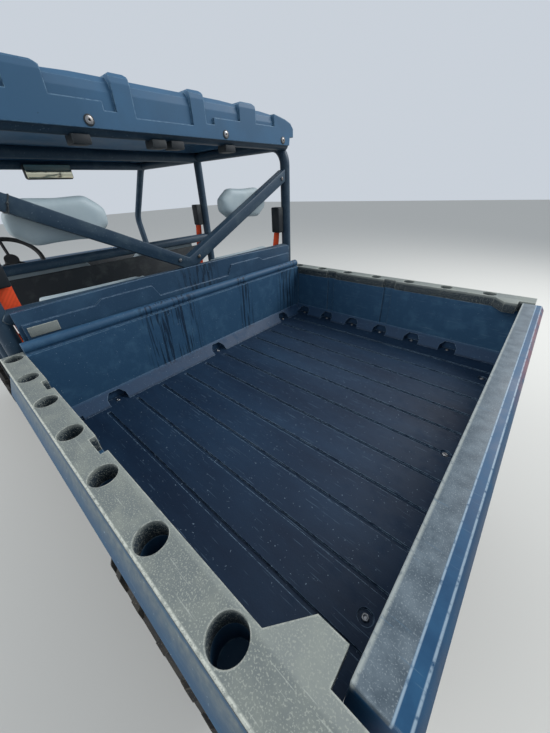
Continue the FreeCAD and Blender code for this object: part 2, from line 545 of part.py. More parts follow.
def suspension():
    """Wishbones, dampers and the knuckles that carry the wheels."""
    arms = []
    shocks = []
    for place, width, top in ((FRONT_AXLE, D.front_tyre_width, D.tower_top - D.rail_size / 2),
                              (REAR_AXLE, D.rear_tyre_width, D.support_low + D.support_height / 2)):
        for side in SIDES:
            kingpin = wheel_centre(side, width) - side * D.kingpin_inset
            bush = side * (RAIL_OUT + D.seat_gap + D.arm_tube_radius)
            for way, height in ((1, D.upper_arm_height), (-1, D.lower_arm_height)):
                eye = D.tyre_radius + way * (D.knuckle_half_height + D.seat_gap + D.arm_eye_height / 2)
                legs = [strut_shape(point(place + fore * D.arm_spread, bush, height), point(place, kingpin, eye),
                                    D.arm_tube_radius) for fore in SIDES]
                tip = Part.makeCylinder(float(D.arm_eye_radius), float(D.arm_eye_height),
                                        point(place, kingpin, eye - D.arm_eye_height / 2), Z_AXIS)
                hinges = [strut_shape(point(place + fore * (D.arm_spread - D.arm_bush_inset), bush, height),
                                      point(place + fore * D.arm_bush_half, bush, height), D.arm_tube_radius)
                          for fore in SIDES]
                bore = Part.makeCylinder(float(D.ball_pin_radius + D.shaft_gap), float(2 * D.arm_eye_height),
                                         point(place, kingpin, eye - D.arm_eye_height), Z_AXIS)
                if way < 0:
                    share = (D.shock_foot_place - bush * side) / (kingpin * side - bush * side)
                    bar_half = D.arm_spread * (1 - share)
                    bar_z = height + (eye - height) * share
                    legs.append(strut_shape(point(place - bar_half, side * D.shock_foot_place, bar_z),
                                            point(place + bar_half, side * D.shock_foot_place, bar_z),
                                            D.shock_bar_radius))
                body = tip.multiFuse([*legs, *hinges])
                size = 2 * D.knuckle_half_height
                face = eye - way * D.arm_eye_height / 2
                low = face if way < 0 else face - size
                knuckle_room = Part.makeBox(float(size), float(size), float(size),
                                            point(place - size / 2, kingpin - size / 2, low))
                arms.append(shaped(body.cut(bore).cut(knuckle_room)))
            foot_z = bar_z + D.shock_bar_radius + D.seat_gap + D.shock_eye_radius
            head = point(place + D.shock_offset, side * (RAIL_OUT + D.seat_gap + D.shock_eye_radius), top)
            foot = point(place + D.shock_offset, side * D.shock_foot_place, foot_z)
            line = (head - foot).normalize()
            spring = strut_shape(foot + line * float(D.spring_foot), head - line * float(D.spring_head),
                                 D.shock_radius)
            stem = strut_shape(foot, head, D.stem_radius)
            eye_length = float(D.shock_eye_length)
            eyes = [Part.makeCylinder(float(D.shock_eye_radius), eye_length, end - X_AXIS * (eye_length / 2),
                                      X_AXIS) for end in (head, foot)]
            shocks.append(shaped(stem.multiFuse([spring, *eyes])))
    node("suspension_arms", group(*arms))
    node("shock_absorbers", group(*shocks))

    rear = []
    for name, place, side, width in WHEELS:
        centre = wheel_centre(side, width)
        kingpin = centre - side * D.kingpin_inset
        z, half = D.tyre_radius, D.knuckle_half_height
        lug_in = kingpin - side * D.arm_eye_radius
        x = (place - D.knuckle_depth, place + D.knuckle_depth)
        parts = [
            block(x, (centre - side * D.knuckle_plate, centre), (z - half, z + half)),
            block(x, (lug_in, centre), (z + half - D.knuckle_lug, z + half)),
            block(x, (lug_in, centre), (z - half, z - half + D.knuckle_lug)),
            rod("y", (place, z), D.spindle_radius, (centre, centre + side * D.spindle_length)),
        ]
        for way in SIDES:
            parts.append(rod("z", (place, kingpin), D.ball_pin_radius,
                             (z + way * (half - D.knuckle_lug), z + way * (half + D.arm_eye_height))))
        if name.startswith("front"):
            high = D.tie_rod_height - D.tie_rod_radius - D.rod_clearance
            arm = D.steering_arm
            root, tip = place - D.lever_root, place - arm - D.lever_tip
            inner = kingpin - side * D.lever_tip_in
            parts.append(prism("z", [
                (root, centre - side * D.knuckle_plate), (root, centre - side * D.lever_root_inset),
                (place - D.lever_bend, kingpin + side * D.lever_bend_out),
                (tip, kingpin - side * D.lever_tip_out), (tip, inner), (place - arm + D.lever_tip_back, inner)],
                (high - D.lever_thickness, high)))
            node("knuckle_" + name, joined(*parts))
        else:
            rear.append(joined(*parts))
    node("rear_knuckles", group(*rear))

    bar = FRONT_AXLE - D.steering_arm
    reach = wheel_centre(1, D.front_tyre_width) - D.kingpin_inset - D.rod_eye_inset
    pieces = [rod("y", (bar, D.tie_rod_height), D.tie_rod_radius, (-reach, reach))]
    for side in SIDES:
        face = D.tie_rod_radius - D.rod_eye_face
        pieces.append(rod("z", (bar, side * reach), D.tie_rod_radius + D.rod_eye_wall,
                          (D.tie_rod_height - face, D.tie_rod_height + face)))
    node("steering_rack", joined(*pieces))


def tyre_shape(width, side):
    """A tyre with one flat for each lug. The lugs of its two rows take turns and wrap the shoulders."""
    half = float(width) / 2
    flats = 2 * int(float(D.lug_count))
    widen = 1 / math.cos(math.pi / flats)
    tread = float(D.tyre_radius - D.lug_height)
    bead = float(D.rim_radius)
    belly = (bead + tread) / 2
    crown = half - float(D.tread_shoulder)
    lip = half - float(D.bead_inset)
    outline = [(-lip, bead), (lip, bead), (half, belly), (crown, tread), (-crown, tread), (-half, belly)]
    carcass = flat_ring([(y, radius * widen) for y, radius in outline], flats)
    inner, bury, chamfer = float(D.lug_inner), float(D.lug_bury), float(D.lug_chamfer)
    top, foot = float(D.tyre_radius), tread - float(D.lug_drop)
    lug = [(inner, tread - bury), (crown - bury, tread - bury), (crown, foot), (half, foot), (half, tread),
           (half - chamfer, top), (inner, top)]
    thick = float(D.lug_thickness)
    lugs = []
    for i in range(flats):
        row = side if i % 2 == 0 else -side
        corners = [FreeCAD.Vector(-thick / 2, row * y, radius) for y, radius in lug]
        block_shape = Part.Face(Part.makePolygon(corners + corners[:1])).extrude(X_AXIS * thick)
        block_shape.rotate(FreeCAD.Vector(0, 0, 0), Y_AXIS, 360.0 * i / flats)
        lugs.append(block_shape)
    return carcass.multiFuse(lugs).removeSplitter()


def wheels():
    """Each tyre on a pressed rim with round windows."""
    for name, place, side, width in WHEELS:
        centre = (place, wheel_centre(side, width), D.tyre_radius)
        half = width / 2
        node("tyre_" + name, put(shaped(tyre_shape(width, side)), *centre))

        outer = D.rim_radius - D.seat_gap
        inner = outer - D.rim_wall
        hole = D.spindle_radius + D.shaft_gap
        bead = half - D.bead_inset
        face = D.rim_offset + D.rim_disc
        hub, back = D.wheel_hub_radius, D.moving_gap
        outline = [(-bead, outer), (bead, outer), (bead, inner), (face, inner), (face, hole), (back, hole),
                   (back, hub), (D.rim_offset, hub), (D.rim_offset, inner), (-bead, inner)]
        rim, axis = turned([(side * y, radius) for y, radius in outline], centre)
        window = rim.newObject("Sketcher::SketchObject", fresh("window"))
        plane = next(o for o in rim.Origin.OriginFeatures if o.Role == "XZ_Plane")
        window.AttachmentSupport = [(plane, "")]
        window.MapMode = "FlatFace"
        circle = Part.Circle(FreeCAD.Vector(0, float(D.window_circle), 0), Z_AXIS, float(D.window_radius))
        window.addGeometry(circle)
        for kind, amount in (("DistanceY", D.window_circle), ("Radius", D.window_radius)):
            ends = (-1, 1, 0, 3) if kind == "DistanceY" else (0,)
            place_of = window.addConstraint(Sketcher.Constraint(kind, *ends, amount.value))
            window.setExpression(f"Constraints[{place_of}]", amount.text)
        window.addConstraint(Sketcher.Constraint("PointOnObject", 0, 3, -2))
        pocket = rim.newObject("PartDesign::Pocket", fresh("pocket"))
        pocket.Profile = window
        pocket.Type = "ThroughAll"
        pocket.SideType = "Symmetric"
        doc.recompute()
        pattern = rim.newObject("PartDesign::PolarPattern", fresh("pattern"))
        pattern.Originals = [pocket]
        pattern.Axis = (axis, [""])
        pattern.Angle = 360
        pattern.setExpression("Occurrences", D.window_count.text)
        rim.Tip = pattern
        node("rim_" + name, rim)


def cage_path(side):
    y = side * D.cage_half
    slope = (D.front_knee - D.front_foot) / (D.front_knee_height - RAIL_TOP)
    dip = D.rail_size
    return [point(D.front_foot - slope * dip, y, RAIL_TOP - dip),
            point(D.front_knee, y, D.front_knee_height),
            point(D.front_top, y, D.cage_top),
            point(D.rear_post, y, D.cage_top),
            point(D.rear_post, y, RAIL_TOP)]


def cage_sides(radius):
    bends = (float(D.knee_radius), float(D.corner_radius), float(D.corner_radius))
    cut = float(D.foot_cut)
    sides = []
    for side in SIDES:
        hoop = tube_shape(cage_path(side), bends, radius)
        corner = point(D.front_foot - cut / 2, side * D.cage_half - cut / 2, RAIL_TOP - cut)
        hoop = hoop.cut(Part.makeBox(cut, cut, cut, corner))
        post = strut_shape(point(D.middle_post, side * D.cage_half, RAIL_TOP),
                           point(D.middle_post, side * D.cage_half, D.cage_top), radius)
        sides.append(hoop.fuse(post))
    return sides


def cage():
    """Two side hoops, the bars between them and the V brace behind the seats."""
    lift = point(0, 0, D.seat_gap)
    sides = cage_sides(D.tube_radius)
    placed = []
    for shape in sides:
        shape.translate(lift)
        placed.append(shaped(shape))
    node("cage_sides", group(*placed))
    clear = [shaped(shape) for shape in cage_sides(D.tube_radius + D.seat_gap)]
    bars = []
    for place, height in ((D.rear_post, D.cage_top), (D.middle_post, D.cage_top), (D.header_place, D.cage_top),
                          (D.rear_post, D.rear_bar_height), (D.middle_post, D.middle_bar_height)):
        bar = rod("y", (place, height), D.tube_radius, (-D.cage_half, D.cage_half))
        bars.append(less(bar, *clear))
    node("cage_crossbars", group(*bars))

    foot = D.rear_bar_height + D.tube_radius + D.seat_gap
    end = POST_IN - D.seat_gap
    rise = (D.brace_top - D.brace_base) / end
    lower = foot + rise * (end - D.brace_foot)
    depth = D.brace_depth / 2
    node("rear_brace", prism("x", [
        (-D.brace_foot, foot), (D.brace_foot, foot), (end, lower), (end, D.brace_top), (0, D.brace_base),
        (-end, D.brace_top), (-end, lower)], (D.rear_post - depth, D.rear_post + depth)))
    return clear


def roof_panel(left, right, drop, foot):
    """Cuts a panel back between two ribs on the roof's rear face, and rounds the edge above it."""
    face, top, past = D.roof_rear + D.rib_depth, D.roof_crown - drop, D.cutter_past
    arc = rounded_corner(face, top, D.panel_round, 1)
    outline = [(D.roof_rear - past, ROOF_UNDER + foot), (face, ROOF_UNDER + foot), *arc,
               (face + D.panel_round, top + past), (D.roof_rear - past, top + past)]
    return prism("y", outline, (left, right))


def roof():
    """A moulded roof, open below. Its four ribs run over the rear edge and down to a skirt."""
    crown, half = D.roof_crown, D.roof_half
    edge = half - D.roof_edge_inset
    outer = [(half, ROOF_UNDER), (half, ROOF_UNDER + D.skirt_height), (edge, crown - D.roof_edge_drop),
             (half - D.roof_bend_inset, crown - D.roof_bend_drop),
             (half - D.roof_shoulder_inset, crown - D.roof_shoulder_drop)]
    ribs = ((D.rib_outer, D.rib_outer_width, D.rib_outer_drop),
            (D.rib_inner, D.rib_inner_width, D.rib_inner_drop))
    for place, width, drop in ribs:
        left, right, base = place + width / 2, place - width / 2, crown - drop
        outer += [(left + D.rib_slope, base), (left, base + D.rib_height),
                  (right, base + D.rib_height), (right - D.rib_slope, base)]
    shell = prism("x", outer + [(-y, z) for y, z in reversed(outer)], (D.roof_rear, D.roof_front))
    room = half - D.roof_room_inset
    inside = [(room, ROOF_UNDER - D.cutter_past), (room, crown - D.roof_edge_drop - D.roof_skin),
              (half - D.roof_shoulder_inset, crown - D.roof_shoulder_drop - D.roof_skin)]
    inside += [(place, crown - drop - D.roof_skin) for place, width, drop in ribs]
    hollow = prism("x", inside + [(-y, z) for y, z in reversed(inside)],
                   (D.roof_rear + D.roof_back_wall, D.roof_front - D.roof_back_wall))
    low, foot = ROOF_UNDER - D.skirt_height, half - D.rear_skirt_inset
    top = crown - D.roof_edge_drop - D.roof_skin
    skirt = prism("x", [(-foot, low), (foot, low), (edge, top), (-edge, top)],
                  (D.roof_rear, D.roof_rear + D.roof_end_wall))

    past, ends = D.cutter_past, []
    for place, way in ((D.roof_rear, 1), (D.roof_front, -1)):
        arc = rounded_corner(place, crown, D.rib_round, way)
        ends.append(prism("y", [(place - way * past, crown - D.rib_round), *arc,
                                (place + way * D.rib_round, crown + past), (place - way * past, crown + past)],
                          (-half - past, half + past)))
    inner_left, inner_right = [D.rib_inner + way * (D.rib_inner_width / 2 + D.rib_slope) for way in SIDES]
    outer_left, outer_right = [D.rib_outer + way * (D.rib_outer_width / 2 + D.rib_slope) for way in SIDES]
    panels = [roof_panel(-inner_right, inner_right, D.rib_inner_drop, D.panel_foot)]
    for side in SIDES:
        for near, far, drop, rise in (
                (inner_left, outer_right, D.rib_inner_drop, D.panel_ledge),
                (inner_left, inner_left + D.panel_step_width, D.rib_inner_drop, D.panel_step),
                (outer_left, half - D.roof_shoulder_inset, D.rib_outer_drop, D.panel_ledge)):
            panels.append(roof_panel(side * near, side * far, drop, rise))
    node("roof", less(joined(less(shell, hollow), skirt), *ends, *panels))


def cabin(clear):
    """Floor, seats, belts, dash and controls."""
    low, top = D.floor_height, D.floor_height + D.floor_thickness
    rear = D.rear_post - D.floor_tail
    inside = D.toe_board - D.toe_wall
    outline = [(rear, low), (D.toe_board, low), (D.toe_board, D.dash_low - D.seat_gap),
               (inside, D.dash_low - D.seat_gap), (inside, D.toe_bend), (D.toe_start, top), (rear, top)]
    pan = prism("y", outline, (-D.floor_half, D.floor_half))
    sunk = low + D.weld_sink
    feet = [block((place - D.floor_foot, place + D.floor_foot), (-SIDE_IN, SIDE_IN), (ON_RAIL, sunk))
            for place in (D.rear_seat_member, D.middle_post, D.front_seat_member, D.front_foot)]
    sills = [block((rear, D.front_foot + D.sill_nose),
                   (side * (D.floor_half - D.sill_wall), side * D.floor_half), (D.sill_low, sunk))
             for side in SIDES]
    tunnel = block((rear, D.toe_board), (-D.tunnel_half, D.tunnel_half), (D.rail_low, low))
    corners = [block((D.toe_board - D.toe_corner, D.toe_board + D.cutter_past),
                     (side * (D.apron - D.apron_gap), side * (D.floor_half + D.cutter_past)),
                     (D.toe_top, D.dash_low)) for side in SIDES]
    node("cab_floor", less(joined(pan, *feet, *sills), tunnel, *corners, *clear))

    base_low = top + D.seat_gap
    cushion_low = D.seat_base_top + D.seat_gap
    cushion_top = cushion_low + D.cushion_height
    bases = []
    for name, bar_x, bar_z, front, top_z in (
            ("front", D.middle_post, D.middle_bar_height, D.front_seat_front, D.seat_back_top),
            ("rear", D.rear_post, D.rear_bar_height, D.rear_seat_front, D.seat_back_top)):
        rear = bar_x + D.shell_setback
        shell_top = bar_z - D.tube_radius - D.shell_drop
        shell_back = rear - D.shell_wall
        bases.append(prism("y", [
            (shell_back, base_low), (front - D.base_toe, base_low), (front, D.seat_base_top),
            (rear + D.shell_lip, D.seat_base_top), (rear - D.shell_lean + D.shell_thick, shell_top),
            (rear - D.shell_lean, shell_top), (shell_back, D.seat_base_top - D.shell_knee)],
            (-D.base_half, D.base_half)))
        cushion_rear = rear + D.back_depth + D.back_foot
        node("seat_cushion_" + name, prism("y", [
            (cushion_rear, cushion_low), (front, cushion_low),
            (front + D.cushion_nose, cushion_top - D.cushion_round),
            (front - D.cushion_sag, cushion_top), (cushion_rear, cushion_top - D.cushion_sag)],
            (-D.seat_half, D.seat_half)))
        bar_face = bar_x + D.tube_radius + D.seat_gap
        back_front = rear + D.back_depth
        profile = prism("y", [
            (rear + D.shell_lip + D.back_foot, cushion_low), (back_front, cushion_low),
            (back_front - D.back_lean, D.seat_base_top + D.back_bend),
            (bar_x + D.crown_front, top_z - D.crown_drop), (bar_x + D.crown_edge, top_z),
            (bar_x + D.crown_rear, top_z), (bar_face, top_z - D.crown_drop),
            (bar_face, shell_top - D.shell_drop)], (-D.seat_half, D.seat_half))
        low_crown = top_z - D.valley_depth
        mouth = D.valley_half + D.valley_flare
        open_top = top_z + D.cutter_past
        valley = prism("x", [(-mouth, open_top), (-D.valley_half, low_crown), (D.valley_half, low_crown),
                             (mouth, open_top)], (bar_x, bar_x + 2 * D.crown_front))
        node("seat_back_" + name, less(profile, valley))
    node("seat_bases", group(*bases))

    brace_face = D.rear_post + D.brace_depth / 2 + D.seat_gap
    for name, side in (("left", 1), ("right", -1)):
        y, z = side * D.headrest_place, D.headrest_centre
        wide, high = D.headrest_width / 2, D.headrest_height / 2
        flat_wide, flat_high = wide - D.headrest_round_wide, high - D.headrest_round_high
        node("headrest_" + name, prism("x", [
            (y - wide, z - flat_high), (y - flat_wide, z - high),
            (y + flat_wide, z - high), (y + wide, z - flat_high),
            (y + wide, z + flat_high), (y + flat_wide, z + high),
            (y - flat_wide, z + high), (y - wide, z + flat_high)],
            (brace_face, brace_face + D.headrest_depth)))

    boxes = []
    straps = []
    for place, top_z in ((D.rear_post, D.rear_retractor_top), (D.middle_post, D.front_retractor_top)):
        for side in SIDES:
            outer = POST_IN - D.seat_gap
            bottom = top_z - D.retractor_height
            boxes.append(block((place - D.retractor_back, place + D.retractor_front),
                               (side * (outer - D.retractor_width), side * outer), (bottom, top_z)))
            upper = point(place + D.tube_radius + D.weld_sink, side * (outer - D.belt_width / 2),
                          bottom - D.seat_gap)
            lower = point(place + D.belt_foot, side * (D.base_half + D.seat_gap + D.belt_width / 2),
                          D.seat_base_top)
            straps.append(shaped(strap_shape(upper, lower)))
    node("belt_retractors", group(*boxes))
    node("seat_belts", group(*straps))

    front = D.rear_post - D.tube_radius - D.seat_gap
    rear = front - D.panel_wall
    side_top = D.panel_top - D.panel_fall
    sheet_panel = prism("x", [
        (-D.panel_half, D.panel_low), (D.panel_half, D.panel_low), (D.panel_half, side_top),
        (D.panel_flat, D.panel_top), (-D.panel_flat, D.panel_top), (-D.panel_half, side_top)], (rear, front))
    line = [(D.field_half, D.field_low), (D.field_half, D.field_step), (D.field_outer, D.field_step),
            (D.field_outer - D.field_slant, D.field_rise), (D.field_inner, D.field_rise),
            (D.field_inner - D.field_slant, D.field_dip)]
    field = prism("x", line + [(-y, z) for y, z in reversed(line)], (rear - D.field_height, rear))
    node("rear_panel", joined(sheet_panel, field))

    node("dash", dash())
    steering()
    pads = []
    toe = D.toe_board - D.toe_wall - D.seat_gap
    pad_face = toe - D.pedal_reach
    arm, z = D.pedal_arm, D.pedal_height
    for y in (D.throttle_place, D.brake_place):
        pads.append(joined(block((pad_face, toe), (y - arm, y + arm), (z - arm, z + arm)),
                           block((pad_face - D.toe_wall, pad_face), (y - D.pedal_half, y + D.pedal_half),
                                 (z - D.pedal_drop, z + D.toe_wall))))
    node("pedals", group(*pads))
    node("mirror", mirror())


def mirror():
    """The inside mirror on its short bracket under the header bar."""
    bar = D.header_place - D.tube_radius - D.seat_gap
    top = D.cage_top - D.mirror_drop
    low = top - D.mirror_height
    wide, corner = D.mirror_width / 2, D.mirror_corner
    glass = prism("x", [(-wide, low + corner), (corner - wide, low), (wide - corner, low), (wide, low + corner),
                        (wide, top - corner), (wide - corner, top), (corner - wide, top), (-wide, top - corner)],
                  (bar - D.mirror_depth - D.tube_radius, bar - D.tube_radius))
    bracket = block((bar - D.tube_radius - D.weld_sink, bar), (-D.mirror_corner, D.mirror_corner),
                    (top - D.weld_sink, D.cage_top + D.weld_sink))
    return joined(glass, bracket)


def dash():
    """The dash moulding, with a bin on the passenger's side and the hood's hinge pins."""
    low, top = D.dash_low, D.cowl_height - D.weld_sink
    back = D.cowl_place - D.dash_setback
    shape = prism("y", [(D.dash_foot, low), (D.dash_rear, D.dash_edge), (D.dash_rear + D.dash_lip, D.dash_top),
                        (back - D.dash_setback, top), (back, top - D.dash_setback), (D.dash_toe, low)],
                  (-D.dash_half, D.dash_half))
    bin_cut = block((D.dash_rear - D.cutter_past, D.dash_edge), (-D.bin_outer, -D.bin_inner),
                    (D.bin_low, D.bin_high))
    level = D.cowl_height - D.hinge_drop
    ears = []
    for side in SIDES:
        inner = D.hinge_ear_place - D.hinge_ear_half
        outer = D.hinge_ear_place + D.hinge_ear_half
        for near, far in ((inner, inner + D.hinge_ear_wall), (outer - D.hinge_ear_wall, outer)):
            ears.append(block((back - D.dash_setback, D.cowl_place + D.hinge_pin_radius),
                              (side * near, side * far),
                              (level - D.hinge_eye_radius, level + D.hinge_pin_radius)))
        ears.append(rod("y", (D.cowl_place, level), D.hinge_pin_radius, (side * inner, side * outer)))
    return joined(less(shape, bin_cut), *ears)


def column_frame():
    """Where the steering wheel's hub is, and the way its column points down to the dash."""
    slope = math.radians(float(D.column_slope_degrees))
    hub = point(D.wheel_place, D.wheel_offset, D.wheel_height)
    return hub, FreeCAD.Vector(math.cos(slope), 0, -math.sin(slope))


def steering():
    hub, down = column_frame()
    length = float(D.column_length)
    start = float(D.hub_depth)
    column = strut_shape(hub + down * start, hub + down * (length + 2 * start), D.column_radius)
    doc.recompute()
    column = column.cut(made["dash"].Shape)
    column = max(column.Solids, key=lambda solid: solid.Volume)
    pin = strut_shape(hub + down * float(D.weld_sink), hub + down * start, D.hub_pin_radius)
    node("steering_column", shaped(column.fuse(pin)))
    ring = rim_ring(hub, down)
    boss = strut_shape(hub - down * float(D.hub_pin_radius * 2), hub + down * (start - float(D.moving_gap)),
                       D.boss_radius)
    side = Y_AXIS
    up = down.cross(side)
    spokes = []
    for angle in (90, 210, 330):
        turn = math.radians(angle)
        out = side * math.cos(turn) + up * math.sin(turn)
        spokes.append(strut_shape(hub + out * start, hub + out * float(D.wheel_radius - D.wheel_rim),
                                  D.spoke_radius))
    bore = strut_shape(hub, hub + down * (2 * start), D.hub_pin_radius + D.shaft_gap)
    node("steering_wheel", shaped(ring.multiFuse([boss, *spokes]).cut(bore)))


def rim_ring(hub, down):
    """The steering wheel's rim, an eight-sided section turned about the column."""
    across = down.cross(Y_AXIS)
    grip = float(D.wheel_rim)
    middle = hub + across * float(D.wheel_radius - D.wheel_rim)
    corners = []
    for i in range(8):
        turn = math.radians(22.5 + 45 * i)
        corners.append(middle + across * (grip * math.cos(turn)) + down * (grip * math.sin(turn)))
    return Part.Face(Part.makePolygon(corners + corners[:1])).revolve(hub, down, 360)


def front_body():
    """Fenders round the front wheels, the hood between them, the grille and lamps."""
    skin = D.fender_wall
    crest = D.cowl_height + D.crest_rise
    fenders = []
    for side in SIDES:
        arch = rod("y", (FRONT_AXLE, D.tyre_radius), D.arch_radius,
                   (side * (D.apron - D.cutter_past), side * (D.fender_half + D.cutter_past)))
        outer = prism("y", [
            (D.fender_foot, D.fender_low), (D.cowl_place, D.cowl_height), (D.crest_place, crest),
            (D.brow_place, D.brow_height), (D.cheek_place, D.cheek_height), (D.nose_front, D.nose_bend),
            (D.nose_front - skin, D.fender_low)], (side * D.apron, side * D.fender_half))
        below = D.fender_low - D.cutter_past
        open_back = D.fender_foot - D.cutter_past
        inner = prism("y", [
            (open_back, below), (open_back, D.cowl_height - skin), (D.cowl_place, D.cowl_height - skin),
            (D.crest_place, crest - skin), (D.brow_place - skin / 2, D.brow_height - skin),
            (D.cheek_place - skin, D.cheek_height - skin / 2), (D.nose_front - skin, D.nose_bend),
            (D.nose_front - 2 * skin, below)], (side * (D.apron + skin), side * (D.fender_half - skin)))
        lamp = block((D.lamp_back - skin, D.nose_front + D.cutter_past),
                     (side * D.lamp_inner, side * D.lamp_outer), (D.lamp_low, D.lamp_high))
        fenders.append(less(outer, inner, arch, lamp))
    node("front_fenders", group(*fenders))

    edge, top, wall = D.cowl_place, D.cowl_height, D.hood_wall
    ridge = top + D.hood_crown
    lid = prism("y", [
        (edge, top), (D.crest_place, ridge), (D.brow_place, D.hood_brow), (D.hood_nose, D.hood_nose_height),
        (D.hood_nose - D.moving_gap, D.hood_nose_height - wall),
        (D.brow_place - D.moving_gap, D.hood_brow - wall),
        (D.crest_place, ridge - wall), (edge, top - wall)], (-D.hood_half, D.hood_half))
    level = top - D.hinge_drop
    near = D.hinge_ear_place - D.hinge_ear_half + D.hinge_side_gap
    far = D.hinge_ear_place + D.hinge_ear_half - D.hinge_side_gap
    past = D.cutter_past
    slots = []
    eyes = []
    for side in SIDES:
        slots.append(block((edge - past, edge + 2 * past), (side * (near - past), side * (far + past)),
                           (top - 2 * wall, top + past)))
        eye = rod("y", (edge, level), D.hinge_eye_radius, (side * near, side * far))
        arm = block((edge, edge + 2 * past + D.weld_sink), (side * near, side * far),
                    (level - D.hinge_pin_radius, level + D.hinge_pin_radius))
        bore = rod("y", (edge, level), D.hinge_pin_radius + D.shaft_gap,
                   (side * (near - past), side * (far + past)))
        eyes.append(less(joined(eye, arm), bore))
    node("hood", joined(less(lid, *slots), *eyes))

    face = D.nose_front - past
    half = D.apron - D.seat_gap
    back = D.fascia_back
    foot = D.nose_low + D.fascia_foot
    lip = D.hood_nose_height - wall - D.seat_gap
    fascia = prism("y", [
        (back - 2 * past, D.nose_low), (face, foot), (face, D.lamp_low), (back + past, lip), (back - past, lip),
        (back, D.lamp_low - past), (back, foot + past), (back - 4 * past, D.nose_low)], (-half, half))
    slots = []
    for i in range(int(float(D.slot_count))):
        z = D.nose_low + D.slot_start + i * D.slot_pitch
        slots.append(block((back - 2 * past, face + past), (-D.slot_half, D.slot_half), (z, z + D.slot_height)))
    node("grille", less(fascia, *slots))
    lamps = []
    gap = D.seat_gap
    for side in SIDES:
        lamps.append(prism("y", [
            (D.lamp_back, D.lamp_low + gap), (D.nose_front - past / 2, D.lamp_low + gap),
            (D.cheek_place + past, (D.lamp_low + D.lamp_high) / 2), (D.cheek_place, D.lamp_high - gap),
            (D.lamp_back, D.lamp_high - gap)], (side * (D.lamp_inner + gap), side * (D.lamp_outer - gap))))
    node("headlamps", group(*lamps))

    reach = HALF_LENGTH - D.bumper_tube
    bends = (float(D.bumper_low_bend), float(D.bumper_high_bend))
    pieces = []
    for side in SIDES:
        y = side * D.rail_place
        level = D.rail_low + D.rail_size / 2
        path = [point(D.rail_end + D.seat_gap, y, level), point(D.rail_end + D.bumper_run, y, level),
                point(reach, y, level + D.bumper_rise), point(reach, y, D.bumper_high)]
        pieces.append(shaped(tube_shape(path, bends, D.bumper_tube)))
    for z in (D.bumper_low, D.bumper_middle, D.bumper_high):
        pieces.append(rod("y", (reach, z), D.bumper_tube, (-D.bumper_half, D.bumper_half)))
    node("front_bumper", joined(*pieces))


def socket_places():
    """Where the sockets for anchors stand along the tops of both side rails."""
    return [(D.socket_first - i * D.socket_pitch, side * (D.bed_half + D.rail_width / 2))
            for side in SIDES for i in range(int(float(D.socket_count)))]


def slot_places():
    """Where a divider board slides in, midway between two sockets."""
    return [D.socket_first - (after + 0.5) * D.socket_pitch for after in (D.slot_after_front, D.slot_after_rear)]


def recess_outline(place):
    """An arch that stands on the bed floor. It opens the cove round a fastener."""
    half, high = D.recess_half, FLOOR_TOP + D.recess_shoulder
    top = high + D.recess_round
    return [(place - half, FLOOR_TOP), (place + half, FLOOR_TOP), (place + half, high),
            (place + half - D.recess_round, top), (place - half + D.recess_round, top), (place - half, high)]


